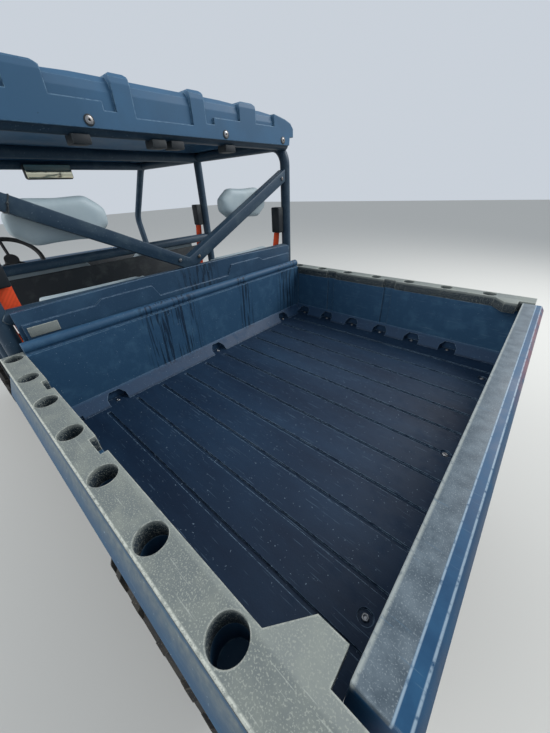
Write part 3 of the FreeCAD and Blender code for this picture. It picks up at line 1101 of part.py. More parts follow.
def cargo_bed():
    """The moulded tub, its capped rails, the tailgate and the steel below it."""
    front = D.bed_front + D.headboard
    tail = BED_REAR - D.side_wall_tail
    half, cove = D.bed_half, D.cove
    outer_low = D.skirt_low
    shoulder = CAP_LOW - D.cap_shoulder
    section = [
        (half, CAP_LOW), (half, FLOOR_TOP + cove), (half - cove, FLOOR_TOP), (cove - half, FLOOR_TOP),
        (-half, FLOOR_TOP + cove), (-half, CAP_LOW), (-WALL_OUT, CAP_LOW), (-SKIRT_OUT, shoulder),
        (-SKIRT_OUT, outer_low), (D.skirt_wall - SKIRT_OUT, outer_low), (D.skirt_wall - SKIRT_OUT, FLOOR_UNDER),
        (SKIRT_OUT - D.skirt_wall, FLOOR_UNDER), (SKIRT_OUT - D.skirt_wall, outer_low), (SKIRT_OUT, outer_low),
        (SKIRT_OUT, shoulder), (WALL_OUT, CAP_LOW)]
    tub = prism("x", section, (tail, D.bed_front))
    wall = prism("x", [(-WALL_OUT, FLOOR_UNDER), (WALL_OUT, FLOOR_UNDER), (WALL_OUT, CAP_LOW), (half, CAP_LOW),
                       (half, D.wall_top), (-half, D.wall_top), (-half, CAP_LOW), (-WALL_OUT, CAP_LOW)],
                 (D.bed_front, front))
    fill = prism("y", [(D.bed_front, FLOOR_TOP), (D.bed_front, FLOOR_TOP + cove),
                       (D.bed_front - cove, FLOOR_TOP)], (-half + cove / 2, half - cove / 2))
    rail_x, rail_r = D.bed_front + D.head_rail_place, D.head_rail_radius
    head_rail = rod("y", (rail_x, D.wall_top + D.head_rail_height - rail_r), rail_r, (-half, half))
    head_foot = block((rail_x - D.head_foot_half, rail_x + D.head_foot_half), (-half, half),
                      (D.wall_top - D.weld_sink, D.wall_top + D.head_foot_height))
    past = D.cutter_past
    gate_side = D.gate_half + D.gate_gap
    gate_room = block((tail - past, BED_REAR + D.gate_front_gap), (-gate_side, gate_side),
                      (FLOOR_UNDER - past, D.wall_top + past))
    grooves = []
    for i in range(int(float(D.groove_count))):
        y = (i - (D.groove_count - 1) / 2) * D.groove_pitch
        grooves.append(block((tail - past, D.bed_front - D.groove_front),
                             (y - D.groove_width / 2, y + D.groove_width / 2),
                             (FLOOR_TOP - D.groove_depth, FLOOR_TOP + past)))
    dishes = [rod("z", (BED_REAR + D.dish_tail, y), D.dish_radius, (FLOOR_TOP - D.dish_depth, FLOOR_TOP + past))
              for y in (-D.dish_place, 0, D.dish_place)]
    arches = rod("y", (REAR_AXLE, D.tyre_radius), D.arch_radius, (-SKIRT_OUT - past, SKIRT_OUT + past))
    pin_end = D.gate_half + D.gate_pin_reach
    pins = rod("y", (GATE_PIN_X, GATE_PIN_Z), D.gate_pin_radius + D.shaft_gap,
               (-pin_end - D.pin_end_gap, pin_end + D.pin_end_gap))
    wells = [rod("z", place, D.socket_radius, (D.wall_top - D.socket_depth, D.wall_top + D.cutter_past))
             for place in socket_places()]
    channels = [block((place - D.slot_channel_half, place + D.slot_channel_half),
                      (side * (half - past), side * (half + D.slot_channel_depth)),
                      (FLOOR_TOP + cove, CAP_LOW + past)) for place in slot_places() for side in SIDES]
    recesses = []
    for i in range(int(float(D.socket_count)) - 1):
        place = D.socket_first - (i + 0.5) * D.socket_pitch
        for side in SIDES:
            recesses.append(prism("y", recess_outline(place), (side * (half - cove - past), side * half)))
    for y in (-D.dish_place, 0, D.dish_place):
        recesses.append(prism("x", recess_outline(y), (D.bed_front - cove - past, D.bed_front)))
    node("bed_tub", less(joined(tub, wall, fill, head_rail, head_foot), gate_room, *grooves, *dishes, arches,
                         pins, *wells, *channels, *recesses))

    rails = []
    for side in SIDES:
        inner, outer = side * half, side * WALL_OUT
        low = CAP_LOW + D.seat_gap
        inside = side * (half + D.seat_gap)
        nose = front + D.cap_lip
        lip, notch = side * (half - D.cap_tail_inset), side * (half - D.cap_notch_inset)
        step = tail + D.cap_tail_length
        shelf = step + D.cap_notch_step
        ramp = shelf + D.cap_notch_length
        cap = prism("z", [(D.bed_front - D.seat_gap, inner), (D.bed_front - D.seat_gap, inside), (nose, inside),
                          (nose, outer), (tail, outer), (tail, lip), (step, lip), (shelf, notch), (ramp, notch),
                          (ramp + D.cap_notch_run, inner)], (low, D.wall_top))
        holes = [rod("z", place, D.socket_radius, (low - past, D.wall_top + past)) for place in socket_places()]
        notches = [block((place - D.slot_notch_half, place + D.slot_notch_half),
                         (side * (half - past), side * (half + D.slot_notch_depth)),
                         (low - past, D.wall_top + past)) for place in slot_places()]
        rails.append(less(cap, *holes, *notches))
    node("bed_rails", group(*rails))

    pin_x, pin_z = GATE_PIN_X, GATE_PIN_Z
    back = BED_REAR - D.gate_thickness
    low = FLOOR_TOP + D.gate_foot
    slant, rise = back + D.gate_chamfer, D.gate_chamfer_height
    gate = prism("y", [(BED_REAR, low), (BED_REAR, D.wall_top), (slant, D.wall_top), (back, D.wall_top - rise),
                       (back, low + rise), (slant, low)], (-D.gate_half, D.gate_half))
    pocket = block((back - past, back + D.gate_pocket_depth), (-D.gate_pocket_half, D.gate_pocket_half),
                   (low + D.gate_pocket_foot, D.wall_top - D.gate_pocket_top))
    handle = block((back - past, back + D.handle_depth), (-D.handle_half, D.handle_half),
                   (D.wall_top - D.handle_low, D.wall_top - D.handle_high))
    ears = []
    for side in SIDES:
        ear = (side * (D.gate_half - D.gate_ear_width), side * D.gate_half)
        ears.append(block((pin_x - D.gate_ear_radius, pin_x + D.gate_ear_radius), ear,
                          (pin_z, low + D.weld_sink)))
        ears.append(rod("y", (pin_x, pin_z), D.gate_ear_radius, ear))
        ears.append(rod("y", (pin_x, pin_z), D.gate_pin_radius, (side * D.gate_half, side * pin_end)))
    node("tailgate", joined(less(gate, pocket, handle), *ears))
    seat = back + D.handle_depth - D.seat_gap
    grip_low, grip_high = D.wall_top - D.grip_low, D.wall_top - D.grip_high
    grip = prism("y", [(seat, grip_low), (seat, grip_high), (back + D.grip_face, grip_high - D.grip_slope),
                       (back + D.grip_lip, grip_low + D.grip_slope)], (-D.grip_half, D.grip_half))
    node("tailgate_handle", grip)

    beam_low = FLOOR_UNDER - D.bed_beam
    tilt_x, tilt_z = D.tilt_pin_place, D.tilt_pin_height
    steel = [block((BED_REAR + D.beam_inset, D.bed_front), (side * RAIL_IN, side * RAIL_OUT),
                   (beam_low, FLOOR_UNDER - D.seat_gap)) for side in SIDES]
    for place in (tilt_x, REAR_AXLE, D.bed_front - D.beam_inset):
        steel.append(block((place - D.rail_size / 2, place + D.rail_size / 2), (-EAR_OUT, EAR_OUT),
                           (beam_low, FLOOR_UNDER - D.seat_gap)))
    for side in SIDES:
        ear = block((tilt_x - D.pivot_plate, tilt_x + D.pivot_plate), (side * EAR_IN, side * EAR_OUT),
                    (tilt_z - D.tilt_ear_foot, beam_low + D.weld_sink))
        steel.append(ear)
    holes = [rod("y", (tilt_x, tilt_z), D.tilt_pin_radius + D.shaft_gap,
                 (side * (EAR_IN - D.weld_sink), side * (EAR_OUT + D.weld_sink))) for side in SIDES]
    node("bed_frame", less(joined(*steel), *holes))

    lamps = [block((tail - D.tail_lamp_depth, tail - D.seat_gap),
                   (side * (half + D.tail_lamp_inset), side * (WALL_OUT + D.tail_lamp_reach)),
                   (D.tail_lamp_low, D.tail_lamp_low + D.tail_lamp_height)) for side in SIDES]
    node("tail_lamps", group(*lamps))


frame()
driveline()
suspension()
wheels()
clear_of_cage = cage()
roof()
cabin(clear_of_cage)
front_body()
cargo_bed()
doc.recompute()

faults = [item.Name for item in doc.Objects if "Invalid" in item.State or "Error" in item.State]
for name, item in made.items():
    if item.Shape.isNull() or not item.Shape.isValid() or not item.Shape.Solids:
        faults.append(name)
if faults:
    raise ValueError("These objects failed: " + ", ".join(faults))
os.makedirs("parts", exist_ok=True)
for name, item in made.items():
    item.Shape.exportStep(f"parts/{name}.step")
print(len(made), "sub-parts written")
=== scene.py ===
# %% [markdown]
# A two-row side by side utility vehicle, seen from behind over its cargo bed.
# The solid model comes in first and stays where it is. Everything below gives
# those solids their real surfaces, and adds the soft and small pieces that a
# solid model leaves plain: seats, springs, bolts, webbing and wear.

# %% Load the vehicle
import json
import math
import bpy
import bmesh
from mathutils import Matrix, Vector


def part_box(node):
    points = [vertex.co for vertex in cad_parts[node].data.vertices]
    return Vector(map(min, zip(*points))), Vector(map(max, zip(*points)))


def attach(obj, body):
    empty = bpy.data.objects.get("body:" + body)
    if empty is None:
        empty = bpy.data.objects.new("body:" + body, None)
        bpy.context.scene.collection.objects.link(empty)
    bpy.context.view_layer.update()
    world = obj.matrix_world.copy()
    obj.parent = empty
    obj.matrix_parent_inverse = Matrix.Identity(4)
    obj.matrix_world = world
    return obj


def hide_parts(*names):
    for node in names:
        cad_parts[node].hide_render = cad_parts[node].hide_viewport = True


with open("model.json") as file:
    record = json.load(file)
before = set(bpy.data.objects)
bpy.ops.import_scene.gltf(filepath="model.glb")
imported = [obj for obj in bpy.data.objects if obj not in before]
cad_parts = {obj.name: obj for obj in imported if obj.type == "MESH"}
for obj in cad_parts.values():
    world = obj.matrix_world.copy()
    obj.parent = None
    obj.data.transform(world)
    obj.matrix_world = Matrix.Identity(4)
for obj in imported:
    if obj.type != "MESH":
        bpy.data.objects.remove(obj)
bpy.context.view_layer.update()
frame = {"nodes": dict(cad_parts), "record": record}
nodes = frame["nodes"]

# %% [markdown]
# A few measures of the vehicle come up again and again. All are in metres, with X
# forward, Y to the left, Z up and the ground at zero.

# %% Measures
front_axle, rear_axle, axle_height = 1.510, -1.230, 0.330
front_half_track, rear_half_track = 0.675, 0.650
bed_floor_top = 0.900
cove_top = 0.945
front_wall_face = -0.655
bed_side_face = 0.7505
gate_crest_height = 1.160
gate_crest_edge = -1.7885
gate_bevel_foot = -1.8035
rail_top = 1.166
print("wheelbase", round(front_axle - rear_axle, 3))

# %% [markdown]
# The camera stands close behind the left rear corner with a very short lens, as
# a phone held over the bed does. Its three directions were worked out from the
# straight edges of the bed, so they are written as directions, not as angles.

# %% Camera
camera_data = bpy.data.cameras.new("view_over_bed")
camera_data.sensor_width = 36
camera_data.lens = 14.33
camera_data.clip_start = 0.02
camera = bpy.data.objects.new("view_over_bed", camera_data)
bpy.context.scene.collection.objects.link(camera)
ahead = Vector((0.5775, -0.6254, -0.5247)).normalized()
to_right = Vector((-0.7509, -0.6592, -0.0406))
to_right = (to_right - ahead * to_right.dot(ahead)).normalized()
turn = Matrix((to_right, to_right.cross(ahead), -ahead)).transposed()
camera_place = Vector((-1.758, 0.761, 1.587))
camera.matrix_world = Matrix.Translation(camera_place) @ turn.to_4x4()
bpy.context.scene.camera = camera
print("camera at", tuple(round(v, 3) for v in camera.location))

# %% [markdown]
# The floor is one large pale plane. Two broad lamps and a pale world light the
# vehicle evenly, so that a colour comes out about as it is written.

# %% Floor and light
scene = bpy.context.scene
scene.view_settings.view_transform = "Standard"
bpy.ops.object.select_all(action="DESELECT")
bpy.ops.mesh.primitive_plane_add(size=60, location=(0, 0, 0))
floor = bpy.context.object
floor.name = "floor"

world = bpy.data.worlds.new("pale_sky")
scene.world = world
world.use_nodes = True
sky = world.node_tree.nodes["Background"]
sky.inputs["Color"].default_value = (0.84, 0.91, 1.0, 1)
sky.inputs["Strength"].default_value = 0.7
lamp_target = Vector((-0.6, 0, 1.0))
for name, place, size, power in (
    ("key", (-3.5, -4.5, 5.5), 4.0, 380),
    ("fill", (2.5, 5.0, 4.5), 5.0, 260),
):
    lamp_data = bpy.data.lights.new(name, "AREA")
    lamp_data.size = size
    lamp_data.energy = power
    lamp = bpy.data.objects.new(name, lamp_data)
    scene.collection.objects.link(lamp)
    lamp.location = place
    lamp.rotation_euler = (lamp_target - Vector(place)).to_track_quat("-Z", "Y").to_euler()
print("lamps and floor are in")

# %% [markdown]
# Every material is built from nodes. `linear` turns a written sRGB hex colour
# into the linear numbers that Blender works in, and `add` puts one node in. The
# others are short names for what comes up often: a ramp between two values, one
# colour over another, a mask of spots, and the distance from a centre line.


# %% Helpers for materials
def linear(code):
    parts = [int(code[i:i + 2], 16) / 255 for i in (1, 3, 5)]
    return tuple(c / 12.92 if c <= 0.04045 else ((c + 0.055) / 1.055) ** 2.4 for c in parts) + (1.0,)


def new_material(name):
    material = bpy.data.materials.new(name)
    material.use_nodes = True
    return material, material.node_tree, material.node_tree.nodes["Principled BSDF"]


def add(tree, kind, inputs=None, **settings):
    made = tree.nodes.new(kind)
    for key, value in settings.items():
        setattr(made, key, value)
    for key, value in (inputs or {}).items():
        if isinstance(value, bpy.types.NodeSocket):
            tree.links.new(value, made.inputs[key])
        else:
            made.inputs[key].default_value = value
    return made


def ramp(tree, value, start, end, low=0.0, high=1.0):
    """A number that goes from low to high while value goes from start to end."""
    limits = {"From Min": start, "From Max": end, "To Min": low, "To Max": high}
    return add(tree, "ShaderNodeMapRange", {"Value": value, **limits}).outputs["Result"]


def times(tree, first, second):
    return add(tree, "ShaderNodeMath", {0: first, 1: second}, operation="MULTIPLY").outputs[0]


def over(tree, share, below, above):
    """One colour laid over another. The Mix node keeps its colours in sockets 6 and 7."""
    return add(tree, "ShaderNodeMix", {0: share, 6: below, 7: above}, data_type="RGBA").outputs[2]


def spots(tree, where, millimetres, start, end, detail=4.0, scale=(1, 1, 1), turned_by=0.0):
    """A mask of soft-edged spots about that many millimetres across."""
    placed = add(tree, "ShaderNodeMapping",
                 {"Vector": where, "Scale": scale, "Rotation": (0, 0, turned_by)}).outputs[0]
    noise = add(tree, "ShaderNodeTexNoise",
                {"Vector": placed, "Scale": 1000 / millimetres, "Detail": detail, "Roughness": 0.6})
    return ramp(tree, noise.outputs["Fac"], start, end)


def along_across_up(tree, where):
    split = add(tree, "ShaderNodeSeparateXYZ", {"Vector": where})
    return split.outputs["X"], split.outputs["Y"], split.outputs["Z"]


def away_from(tree, value, centre=0.0):
    """How far a measure lies from a centre, to either side."""
    shifted = add(tree, "ShaderNodeMath", {0: value, 1: -centre}, operation="ADD").outputs[0]
    return add(tree, "ShaderNodeMath", {0: shifted}, operation="ABSOLUTE").outputs[0]


# %% [markdown]
# Nearly every surface here is a main colour, a second one in soft patches, fine
# pale specks, hair scratches, and bare or chalky edges. `surface` lays these in
# that order. The Bevel node rounds the look of an edge by a few millimetres, and
# where its normal leaves the face's own normal there is an edge, which gets worn.


# %% A surface with patches, specks, scratches and worn edges
def surface(name, main, patch, patch_mm, share, rough, grain_mm, depth_mm,
            speck=None, speck_mm=3, speck_share=0.1, scratch=None, edge=None, edge_mm=3,
            metal=0.0, coat=0.0, shine=0.5, more=None):
    material, tree, shader = new_material(name)
    where = add(tree, "ShaderNodeTexCoord").outputs["Object"]
    patches = spots(tree, where, patch_mm, 0.62 - share, 0.84 - share, 8.0)
    colour = over(tree, patches, linear(main), linear(patch))
    if more:
        colour = more(tree, where, colour)
    if speck:
        fine = spots(tree, where, speck_mm, 0.66 - speck_share, 0.72 - speck_share, 2.0)
        colour = over(tree, fine, colour, linear(speck))
    if scratch:
        for angle, scale in ((0.35, (0.03, 1, 1)), (-0.9, (0.04, 1, 1))):
            hair = spots(tree, where, 3, 0.71, 0.75, 1.0, scale, angle)
            colour = over(tree, times(tree, hair, 0.45), colour, linear(scratch))
    rounded = add(tree, "ShaderNodeBevel", {"Radius": edge_mm / 1000}, samples=4).outputs[0]
    if edge:
        flat = add(tree, "ShaderNodeNewGeometry").outputs["Normal"]
        match = add(tree, "ShaderNodeVectorMath", {0: rounded, 1: flat}, operation="DOT_PRODUCT")
        rim = ramp(tree, match.outputs["Value"], 0.985, 0.90)
        broken = spots(tree, where, 12, 0.35, 0.55)
        colour = over(tree, times(tree, rim, broken), colour, linear(edge))
    tree.links.new(colour, shader.inputs["Base Color"])
    dull = ramp(tree, patches, 0, 1, rough - 0.05, min(rough + 0.10, 1.0))
    tree.links.new(dull, shader.inputs["Roughness"])
    grain = add(tree, "ShaderNodeTexNoise",
                {"Vector": where, "Scale": 1000 / grain_mm, "Detail": 3.0}).outputs["Fac"]
    bump = add(tree, "ShaderNodeBump", {"Height": grain, "Strength": 0.6,
                                        "Distance": depth_mm / 1000, "Normal": rounded})
    tree.links.new(bump.outputs["Normal"], shader.inputs["Normal"])
    shader.inputs["Metallic"].default_value = metal
    shader.inputs["Coat Weight"].default_value = coat
    shader.inputs["Specular IOR Level"].default_value = shine
    return material


# %% [markdown]
# Four mouldings differ from place to place. The bed's floor is darker than its
# walls and scratched along the vehicle, the corner between its floor and walls
# gets painted shade, and dark runs of dried water hang down its front wall and
# the panel behind the cab. The tailgate's top is chalky inside, and outside it
# keeps the gate's blue, which is painted sky reflection on black plastic, with
# reddish rubbed marks on its outer bevel. The rails are paler at their inner
# edge, and a pale line of painted sunlight runs along their outer rim.


# %% What changes from place to place
def bed_places(tree, where, colour):
    along, across, up = along_across_up(tree, where)
    runs = spots(tree, where, 12, 0.52, 0.56, 3.0, (1, 1, 0.05))
    for centre, half in ((0.19, 0.15), (-0.60, 0.12), (-0.24, 0.05)):
        wet = times(tree, runs, ramp(tree, away_from(tree, across, centre), half, half * 0.6))
        wet = times(tree, wet, ramp(tree, along, front_wall_face - 0.020, front_wall_face))
        colour = over(tree, times(tree, wet, 0.8), colour, linear("#0b1c2e"))
    outside = ramp(tree, away_from(tree, across), bed_side_face, bed_side_face + 0.0025)
    dust = spots(tree, where, 12, 0.35, 0.65, 6.0)
    dusty = over(tree, dust, linear("#56636a"), linear("#757c78"))
    colour = over(tree, times(tree, outside, ramp(tree, up, 1.08, 1.13)), colour, dusty)
    # Painted shade: the corner chamfer between floor and walls is darkened.
    cove_painted_shade = times(tree, ramp(tree, up, cove_top, cove_top - 0.010), 0.7)
    colour = over(tree, cove_painted_shade, colour, linear("#1b2f49"))
    flat = ramp(tree, up, bed_floor_top + 0.0035, bed_floor_top - 0.0015)
    planks = spots(tree, where, 160, 0.35, 0.75, 5.0, (0.3, 1, 1))
    ground = over(tree, planks, linear("#0e2136"), linear("#1c334a"))
    long_scratches = spots(tree, where, 3.5, 0.735, 0.77, 2.0, (0.02, 1, 1))
    ground = over(tree, times(tree, long_scratches, 0.4), ground, linear("#4c6274"))
    return over(tree, flat, colour, ground)


def gate_places(tree, where, colour):
    along, across, up = along_across_up(tree, where)
    top = ramp(tree, up, gate_crest_height - 0.005, gate_crest_height)
    inside = times(tree, ramp(tree, along, gate_crest_edge, gate_crest_edge + 0.0015), top)
    patches = spots(tree, where, 30, 0.38, 0.62, 6.0)
    colour = over(tree, inside, colour, over(tree, patches, linear("#47535c"), linear("#5f6b73")))
    grit = times(tree, spots(tree, where, 2.0, 0.58, 0.68, 1.0), inside)
    colour = over(tree, times(tree, grit, 0.45), colour, linear("#8f999d"))
    rubbed = times(tree, ramp(tree, along, -1.802, -1.805), ramp(tree, across, 0.10, -0.15))
    rubbed = times(tree, rubbed, ramp(tree, up, 1.12, 1.14))
    red = times(tree, rubbed, spots(tree, where, 50, 0.36, 0.52, 6.0))
    colour = over(tree, times(tree, red, 0.75), colour, linear("#84535a"))
    broken = spots(tree, where, 10, 0.30, 0.48)
    fade = 0.0012
    for near, wide in ((gate_crest_edge, 0.0010), (gate_bevel_foot, 0.0015)):
        line = times(tree, ramp(tree, along, near + fade, near),
                     ramp(tree, along, near - wide - fade, near - wide))
        line = times(tree, times(tree, line, top), broken)
        colour = over(tree, times(tree, line, 0.6), colour, linear("#a7bac6"))
    inner_lip = times(tree, ramp(tree, along, -1.7535, -1.7500),
                      ramp(tree, up, gate_crest_height - 0.020, gate_crest_height))
    return over(tree, times(tree, times(tree, inner_lip, broken), 0.7), colour, linear("#a3a9a4"))


def rail_places(tree, where, colour):
    _, across, up = along_across_up(tree, where)
    far_out = away_from(tree, across)
    inner = ramp(tree, far_out, 0.699, 0.694)
    colour = over(tree, times(tree, inner, 0.35), colour, linear("#8b918c"))
    # Painted sunlight: a pale line along the rail's outer rim, broken up in spots.
    painted_sunlit_rim = times(tree, ramp(tree, far_out, 0.7455, 0.7475), spots(tree, where, 9, 0.35, 0.50))
    colour = over(tree, times(tree, painted_sunlit_rim, 0.8), colour, linear("#c6c9be"))
    return over(tree, ramp(tree, up, rail_top, rail_top - 0.008), colour, linear("#26323b"))


def panel_places(tree, where, colour):
    """The same dried runs come over the panel behind the cab, near its middle."""
    along, across, _ = along_across_up(tree, where)
    runs = spots(tree, where, 16, 0.50, 0.55, 4.0, (1, 1, 0.12))
    wet = times(tree, runs, ramp(tree, away_from(tree, across, -0.02), 0.13, 0.06))
    wet = times(tree, wet, ramp(tree, along, -0.57, -0.575))
    return over(tree, times(tree, wet, 0.75), colour, linear("#0d1d2c"))


fin_spacing = 0.008


def fins(tree, where, colour):
    """Cooling fins 8 mm apart; the real ones are near 2 mm, too fine to show."""
    _, _, up = along_across_up(tree, where)
    wave = times(tree, up, 2 * math.pi / fin_spacing)
    wave = add(tree, "ShaderNodeMath", {0: wave}, operation="SINE").outputs[0]
    # The dark bands between the fins are painted shade in the gaps.
    return over(tree, ramp(tree, wave, -0.2, 0.2), linear("#1c1e20"), colour)


# %% [markdown]
# Each finish is named for the real material and for how its surface was made.
# Black parts outdoors are never quite black: dust greys them and sky tints them.

# %% Finishes of the body
finish = {
    # powder coat on steel: even, slightly pebbled, dusty where nothing rubs it
    "frame_steel": surface(
        "powder_coated_steel_black", "#1e242b", "#4a4842", patch_mm=90, share=0.10, rough=0.50,
        grain_mm=2.5, depth_mm=0.25, edge="#7d7a74", shine=0.35),
    "cage_steel": surface(
        "powder_coated_tube_slate", "#283c4d", "#3b4d59", patch_mm=70, share=0.12, rough=0.50,
        grain_mm=2.5, depth_mm=0.2, speck="#7d8c96", speck_mm=4, speck_share=-0.02, edge="#8b979c",
        shine=0.25),
    # rotomoulded polyethylene: low gloss, faint waves, scratched pale by cargo
    "bed_plastic": surface(
        "moulded_polyethylene_navy", "#2b4c68", "#375a75", patch_mm=45, share=0.12, rough=0.58,
        grain_mm=4, depth_mm=0.4, speck="#8ea2b2", speck_mm=6, speck_share=-0.05, scratch="#5d7488",
        edge="#6d8598", shine=0.25, more=bed_places),
    # the same plastic where sun has chalked it: grey, faintly speckled, hair scratched
    "rail_plastic": surface(
        "sun_chalked_polyethylene_grey", "#656c6b", "#747a75", patch_mm=40, share=0.2, rough=0.72,
        grain_mm=2, depth_mm=0.35, speck="#888d86", speck_mm=2.2, speck_share=0.10,
        scratch="#a3a8a0", edge="#b9bcb2", edge_mm=4, shine=0.3, more=rail_places),
    # The tailgate is black plastic: its blue main and patch colours are painted sky reflection.
    "gate_plastic": surface(
        "black_polyethylene_painted_sky_blue", "#1a4161", "#214d6e", patch_mm=60, share=0.2, rough=0.46,
        grain_mm=5, depth_mm=0.2, scratch="#4d6a80", edge="#a9b7bd", shine=0.25, more=gate_places),
    "body_plastic": surface(
        "moulded_polypropylene_slate", "#27425a", "#304f68", patch_mm=110, share=0.14, rough=0.50,
        grain_mm=4, depth_mm=0.25, speck="#7088a0", speck_mm=4, speck_share=-0.04,
        scratch="#5a748a", edge="#7189a0", shine=0.3, more=panel_places),
    # smooth satin skin with small dark nicks in it
    "roof_plastic": surface(
        "thermoformed_roof_slate_blue", "#335774", "#3a607f", patch_mm=220, share=0.16, rough=0.56,
        grain_mm=7, depth_mm=0.15, speck="#16293c", speck_mm=9, speck_share=-0.08, edge="#6f8fa6",
        edge_mm=5, shine=0.25),
    "black_plastic": surface(
        "textured_polypropylene_black", "#1b2126", "#3a3f40", patch_mm=80, share=0.12, rough=0.60,
        grain_mm=1.8, depth_mm=0.4, edge="#5f6668", shine=0.35),
}
print(len(finish), "finishes of the body")

# %% Finishes of the running gear and cab
finish.update({
    # tread rubber with pale dust on it
    "tyre": surface(
        "carbon_black_tread_rubber", "#1c1c1d", "#3b3833", patch_mm=70, share=0.16, rough=0.80,
        grain_mm=3, depth_mm=0.6, speck="#5b554b", speck_mm=5, speck_share=0.04, edge="#5d594f",
        edge_mm=4, shine=0.3),
    "rim_steel": surface(
        "stamped_steel_wheel_black", "#202326", "#57534c", patch_mm=50, share=0.14, rough=0.45,
        grain_mm=2.5, depth_mm=0.2, edge="#84817a"),
    "raw_steel": surface(
        "zinc_plated_steel", "#8f9092", "#6f5f4c", patch_mm=30, share=0.12, rough=0.38, grain_mm=2,
        depth_mm=0.1, metal=1.0),
    "cast": surface(
        "sand_cast_iron", "#4a4a48", "#5c4a3a", patch_mm=40, share=0.16, rough=0.68, grain_mm=3,
        depth_mm=0.7, edge="#8a8780", metal=0.6),
    "alloy": surface(
        "brazed_aluminium_core", "#74787b", "#5b5c5a", patch_mm=90, share=0.08, rough=0.50,
        grain_mm=2.5, depth_mm=0.2, metal=0.7, more=fins),
    "wheel_grip": surface(
        "moulded_grip_foam_black", "#17191b", "#2d2c2a", patch_mm=30, share=0.12, rough=0.75,
        grain_mm=1.6, depth_mm=0.5),
    "tail_lens": surface(
        "acrylic_tail_lens_red", "#8a0d10", "#6a1412", patch_mm=60, share=0.06, rough=0.18,
        grain_mm=8, depth_mm=0.1, coat=0.5),
    # coated knit: a fine leather-like grain, paler in worn patches
    "seat_vinyl": surface(
        "stretched_seat_vinyl_sage", "#9dadb3", "#acb9bc", patch_mm=120, share=0.16, rough=0.55,
        grain_mm=1.6, depth_mm=0.35, scratch="#86969c"),
})


twill_scale = 1000 / 3 / 6.3


def weave(tree, where, colour):
    """Twill ribs 7 mm apart; the real ones are near 1 mm, too fine to show."""
    rib = add(tree, "ShaderNodeTexWave", {"Vector": where, "Scale": twill_scale},
              bands_direction="DIAGONAL")
    return over(tree, ramp(tree, rib.outputs["Fac"], 0.2, 0.9, 0.0, 0.22), colour, linear("#c23d22"))


finish["webbing"] = surface(
    "woven_polyester_webbing_orange", "#ff5e34", "#e6502c", patch_mm=40, share=0.12, rough=0.72,
    grain_mm=1.5, depth_mm=0.4, more=weave, shine=0.3)

lens, tree, shader = new_material("moulded_polycarbonate_lamp_lens")
shader.inputs["Base Color"].default_value = linear("#dfe5e8")
shader.inputs["Roughness"].default_value = 0.08
shader.inputs["Transmission Weight"].default_value = 0.6
shader.inputs["IOR"].default_value = 1.58
ribs = add(tree, "ShaderNodeTexWave", {"Scale": 25.0}, bands_direction="Y").outputs["Fac"]
bump = add(tree, "ShaderNodeBump", {"Height": ribs, "Strength": 0.4, "Distance": 0.001})
tree.links.new(bump.outputs["Normal"], shader.inputs["Normal"])
finish["lamp_lens"] = lens

silvered, tree, shader = new_material("silvered_mirror_glass")
shader.inputs["Base Color"].default_value = linear("#e6e2c8")
shader.inputs["Metallic"].default_value = 1.0
smudge = add(tree, "ShaderNodeTexNoise", {"Scale": 40.0}).outputs["Fac"]
tree.links.new(ramp(tree, smudge, 0.3, 0.7, 0.03, 0.16), shader.inputs["Roughness"])
finish["mirror_glass"] = silvered

ground, tree, shader = new_material("plain_pale_floor")
shader.inputs["Base Color"].default_value = linear("#c9c8c3")
shader.inputs["Roughness"].default_value = 1.0
shader.inputs["Specular IOR Level"].default_value = 0.1
floor.data.materials.append(ground)

slot_of = {entry["node"]: entry["material_slot"] for entry in frame["record"]["subparts"]}
look_of = {**slot_of, "tailgate": "gate_plastic"}
for name, item in nodes.items():
    item.data.materials.clear()
    item.data.materials.append(finish[look_of[name]])
print(len(finish), "finishes on", len(nodes), "nodes")

# %% [markdown]
# New pieces share a few small steps. `settle` gives a mesh its finish and body
# and bakes its place into its mesh, so that the object itself sits at the origin.
# `turned` builds a round piece as a lathe would, ring by ring, from one extruded
# disc. `slab` is a block with eased edges, and `copies` sets like pieces out.


# %% Helpers for pieces
def pick(piece):
    bpy.ops.object.select_all(action="DESELECT")
    piece.select_set(True)
    bpy.context.view_layer.objects.active = piece


def settle(piece, name, body, slot, smooth=35, look=None):
    piece.name = name
    pick(piece)
    bpy.ops.object.transform_apply(location=True, rotation=True, scale=True)
    bpy.ops.object.shade_smooth_by_angle(angle=math.radians(smooth))
    piece.data.materials.clear()
    piece.data.materials.append(finish[look or slot])
    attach(piece, body)
    return piece


def joined(pieces):
    bpy.ops.object.select_all(action="DESELECT")
    for piece in pieces:
        piece.select_set(True)
    bpy.context.view_layer.objects.active = pieces[0]
    if len(pieces) > 1:
        bpy.ops.object.join()
    return bpy.context.object


def apply_all(piece):
    pick(piece)
    for modifier in list(piece.modifiers):
        bpy.ops.object.modifier_apply(modifier=modifier.name)


def turned(rings, sides=24):
    """A closed round form along Z, from (radius, height) pairs in metres."""
    radius, height = rings[0]
    bpy.ops.object.select_all(action="DESELECT")
    bpy.ops.mesh.primitive_circle_add(vertices=sides, radius=radius, fill_type="NGON",
                                      location=(0, 0, 0))
    piece = bpy.context.object
    bpy.ops.object.mode_set(mode="EDIT")
    bpy.ops.mesh.select_all(action="SELECT")
    bpy.ops.transform.translate(value=(0, 0, height))
    for wider, higher in rings[1:]:
        bpy.ops.mesh.extrude_region_move(TRANSFORM_OT_translate={"value": (0, 0, higher - height)})
        if wider != radius:
            ratio = wider / radius
            bpy.ops.transform.resize(value=(ratio, ratio, 1), center_override=(0, 0, higher))
        radius, height = wider, higher
    bpy.ops.mesh.select_all(action="SELECT")
    bpy.ops.mesh.normals_make_consistent(inside=False)
    bpy.ops.object.mode_set(mode="OBJECT")
    return piece


